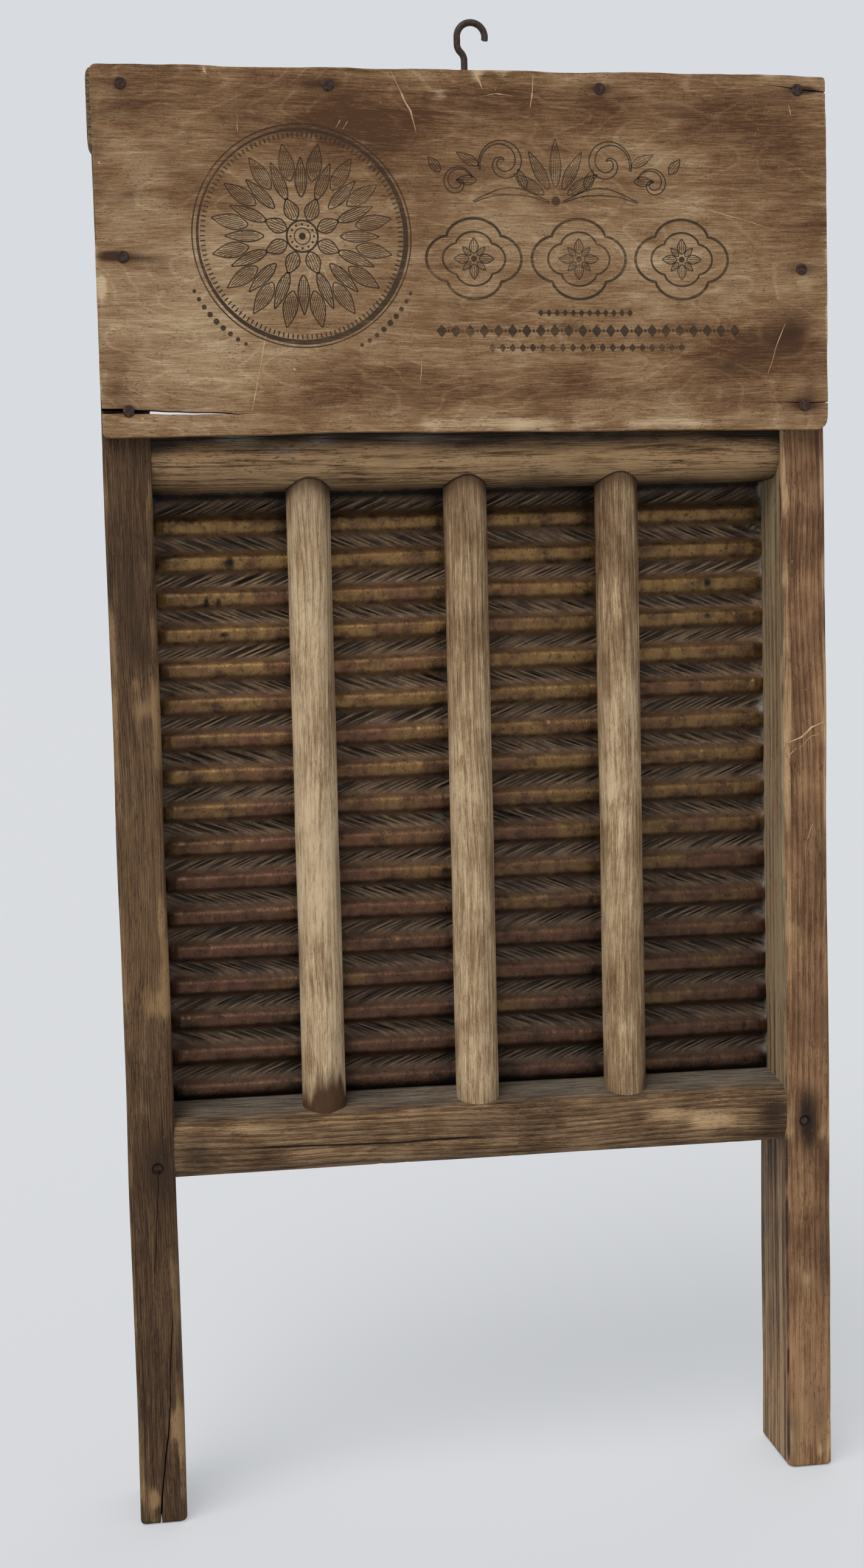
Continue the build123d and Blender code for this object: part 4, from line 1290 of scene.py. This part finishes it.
def print_scroll(ink):
    """A pair of mirrored scrolls with leaves round a middle fan of leaves."""
    x, z = 37.5, 586.5
    shares = np.linspace(0, 1, 60)
    swell = 0.35 + 1.1 * np.sin(math.pi * shares) ** 2
    side_leaves = [(33, 2, 0.5, 11), (34, -4, 0.0, 9), (13, -8, 1.2, 9), (50, -1, 0.9, 8)]
    for way in (1, -1):
        start = 0.3 if way > 0 else math.pi - 0.3
        ink.ribbon(spiral(x + way * 23, z + 3.5, 10.5, -start, 1.35, way), swell, 0.55)
        ink.ribbon(spiral(x + way * 43, z - 5, 7.0, math.pi - start, 1.2, -way), swell * 0.7, 0.5)
        stem = np.stack([x + way * (3 + 33 * shares), z - 13 + 4.5 * np.sin(math.pi * shares)], axis=1)
        ink.ribbon(stem, swell, 0.55)
        for place, height, turn, length in side_leaves:
            ink.leaf(x + way * place, z + height, turn if way > 0 else math.pi - turn, 0.5, length, 2.0, 0.5)
    for turn in (-1.0, -0.5, 0.0, 0.5, 1.0):
        ink.leaf(x, z - 13, math.pi / 2 + turn, 6, 21 - 5 * abs(turn), 2.4, 0.55, veins=2)
    ink.dot(x, z - 12.5, 2.0)


def print_ornaments(ink):
    """A row of three large outlined four-lobed ornaments."""
    z = 549.5
    for x in (1.2, 47.2, 93.0):
        ink.foil(x, z, 20.7, 17.0, 1.15)
        ink.foil(x, z, 13.6, 11.4, 0.85)
        for turn in circle(4):
            ink.leaf(x, z, turn, 2.2, 6.6, 1.9, 0.5)
            ink.leaf(x, z, turn + math.pi / 4, 2.0, 5.0, 1.2, 0.45)
        ink.dot(x, z, 1.3)


def print_rules(ink):
    """Three rows of plain diamonds and beads under the ornaments: z, start, end, height, step."""
    rows = [(526.6, 30, 69.5, 3.2, 3.6), (519.0, -13.5, 116.5, 5.6, 6.2), (511.8, 8.5, 92.5, 3.6, 4.4)]
    for z, start, end, tall, step in rows:
        places = np.linspace(start, end, round((end - start) / step) + 1)
        for x in places:
            ink.stroke([(x - 0.36 * step, z), (x, z), (x + 0.36 * step, z)], [0.15, tall, 0.15])
        for x in (places[:-1] + places[1:]) / 2:
            ink.dot(x, z, 0.12 * tall)


def make_print():
    ink = Print(PANEL_Y)
    for part in (print_medallion, print_scroll, print_ornaments, print_rules):
        part(ink)
    add_mesh("panel_print", ink.points, ink.faces, printing_ink(), {}, sharp=30)


# Scratches on the panel and on the right leg's face: places along each, as x and z in millimetres,
# and its greatest width.
SCRATCHES = [
    ([(-32.9, 627.5), (-29, 619), (-25, 611), (-22.4, 602)], 0.8),
    ([(28.5, 627), (28.2, 620), (26.8, 613)], 0.7), ([(-88.6, 518), (-91.5, 505), (-95.6, 485.5)], 0.8),
    ([(79, 578), (100, 572), (122, 566.5), (139.5, 561)], 0.35),
    ([(139.6, 522), (135.5, 512), (131.5, 500)], 0.5), ([(6, 617.5), (12, 618.8), (19, 618)], 0.5),
    ([(-111.8, 628), (-110.6, 624.5)], 1.2), ([(3, 627.8), (6.5, 620.5)], 1.3),
    ([(-57, 603.5), (-54.5, 607)], 0.4), ([(-54, 603), (-51.5, 606.5)], 0.4),
    ([(-98, 608), (-98.4, 601)], 0.35), ([(44, 529), (23.5, 504)], 0.2),
    ([(142, 616), (143.2, 611.5)], 0.8), ([(-22.5, 508), (-23, 497.5)], 0.35),
    ([(-77.7, 503.6), (-76.5, 502.5)], 1), ([(-142.6, 483.2), (-141, 482.4)], 1.3),
    ([(-156.6, 588.6), (-155.6, 587.4)], 1.1),
]
LEG_SCRATCHES = [
    ([(139.8, 336.6), (147, 339.2), (152, 343.6), (157.6, 346)], 1),
    ([(146, 334), (151.5, 339.5), (157, 341)], 0.4), ([(141.5, 331.5), (145, 334.5)], 0.7),
    ([(140.5, 352), (140.2, 366)], 0.6), ([(152.5, 301), (149.5, 293)], 0.5),
]


def add_scratches(name, scratches, face_y):
    """Pale scratches and splinters in one upright face."""
    marks = Print(face_y)
    taper = np.sin(np.linspace(0.1, math.pi - 0.1, 16)) ** 0.6
    for corners, width in scratches:
        corners = np.array(corners, float)
        shares = np.linspace(0, len(corners) - 1, 16)
        path = np.stack([np.interp(shares, range(len(corners)), corners[:, k]) for k in (0, 1)], axis=1)
        path[:, 0] += 0.25 * noise(601, shares * 2.0, corners[0, 0] * 0.05)
        rough = 0.75 + 0.5 * noise(602, shares * 4.0, corners[0, 1] * 0.09)
        marks.stroke(path, width * taper * rough)
    add_mesh(name, marks.points, marks.faces, SCRATCHED_WOOD, {}, sharp=30)


# ---- floor, light and camera --------------------------------------------------------------------

FLOOR_HALF = 30.0
ROOM_COLOUR = (0.99, 0.985, 0.975, 1.0)
ROOM_LIGHT = 0.70
BACKDROP_COLOUR = srgb(216, 219, 224)
CAMERA_PLACE = (-0.1450, -0.8604, 0.3905)
CAMERA_AIM = (-0.0216, -0.01725, 0.32397)
CAMERA_ROLL = 1.34  # degrees, the camera's top leaning to the right
CAMERA_LENS = 44.75


def make_stage():
    mesh = bpy.data.meshes.new("floor")
    corners = [(x * FLOOR_HALF, y * FLOOR_HALF, 0) for x, y in ((-1, -1), (1, -1), (1, 1), (-1, 1))]
    mesh.from_pydata(corners, [], [(0, 1, 2, 3)])
    mesh.materials.append(plain_floor())
    put("floor", mesh)
    bpy.context.scene.world = pale_room()


def pale_room():
    """Soft light from all round, and a plain backdrop that is as bright as the far floor."""
    world = bpy.data.worlds.new("pale_room")
    world.use_nodes = True
    tree = world.node_tree
    light = tree.nodes["Background"]
    light.inputs["Color"].default_value = ROOM_COLOUR
    light.inputs["Strength"].default_value = ROOM_LIGHT
    backdrop = tree.nodes.new("ShaderNodeBackground")
    backdrop.inputs["Color"].default_value = BACKDROP_COLOUR
    seen = tree.nodes.new("ShaderNodeLightPath")
    choice = tree.nodes.new("ShaderNodeMixShader")
    tree.links.new(seen.outputs["Is Camera Ray"], choice.inputs[0])
    tree.links.new(light.outputs[0], choice.inputs[1])
    tree.links.new(backdrop.outputs[0], choice.inputs[2])
    tree.links.new(choice.outputs[0], tree.nodes["World Output"].inputs["Surface"])
    return world


def add_sun(name, place, strength, spread, colour):
    """Even light from the direction of a place, as soft as its spread in degrees."""
    lamp = bpy.data.lights.new(name, "SUN")
    lamp.energy = strength
    lamp.angle = math.radians(spread)
    lamp.color = colour
    put(name, lamp).rotation_euler = (-Vector(place)).to_track_quat("-Z", "Y").to_euler()


def make_lights():
    add_sun("key", (-0.50, -0.60, 1.0), 2.4, 42, (1.0, 0.97, 0.93))
    add_sun("back", (0.5, 1.0, 0.8), 0.5, 60, (0.95, 0.97, 1.0))


def make_camera():
    camera = bpy.data.cameras.new("camera")
    camera.lens = CAMERA_LENS
    camera.sensor_width = 36.0
    camera.clip_start = 0.01
    holder = put("camera", camera)
    way = Vector(CAMERA_AIM) - Vector(CAMERA_PLACE)
    turn = way.to_track_quat("-Z", "Y").to_matrix().to_4x4()
    roll = Matrix.Rotation(math.radians(-CAMERA_ROLL), 4, "Z")
    holder.matrix_world = Matrix.Translation(CAMERA_PLACE) @ turn @ roll
    bpy.context.scene.camera = holder


make_camera()
make_stage()
make_lights()
make_legs()
make_header()
make_rails()
make_panel()
make_dowels()
make_sheet()
make_nails()
make_hook()
make_print()
add_scratches("panel_scratches", SCRATCHES, PANEL_Y)
add_scratches("leg_scratches", LEG_SCRATCHES, FACE_Y)

bpy.context.scene.view_settings.view_transform = "Standard"
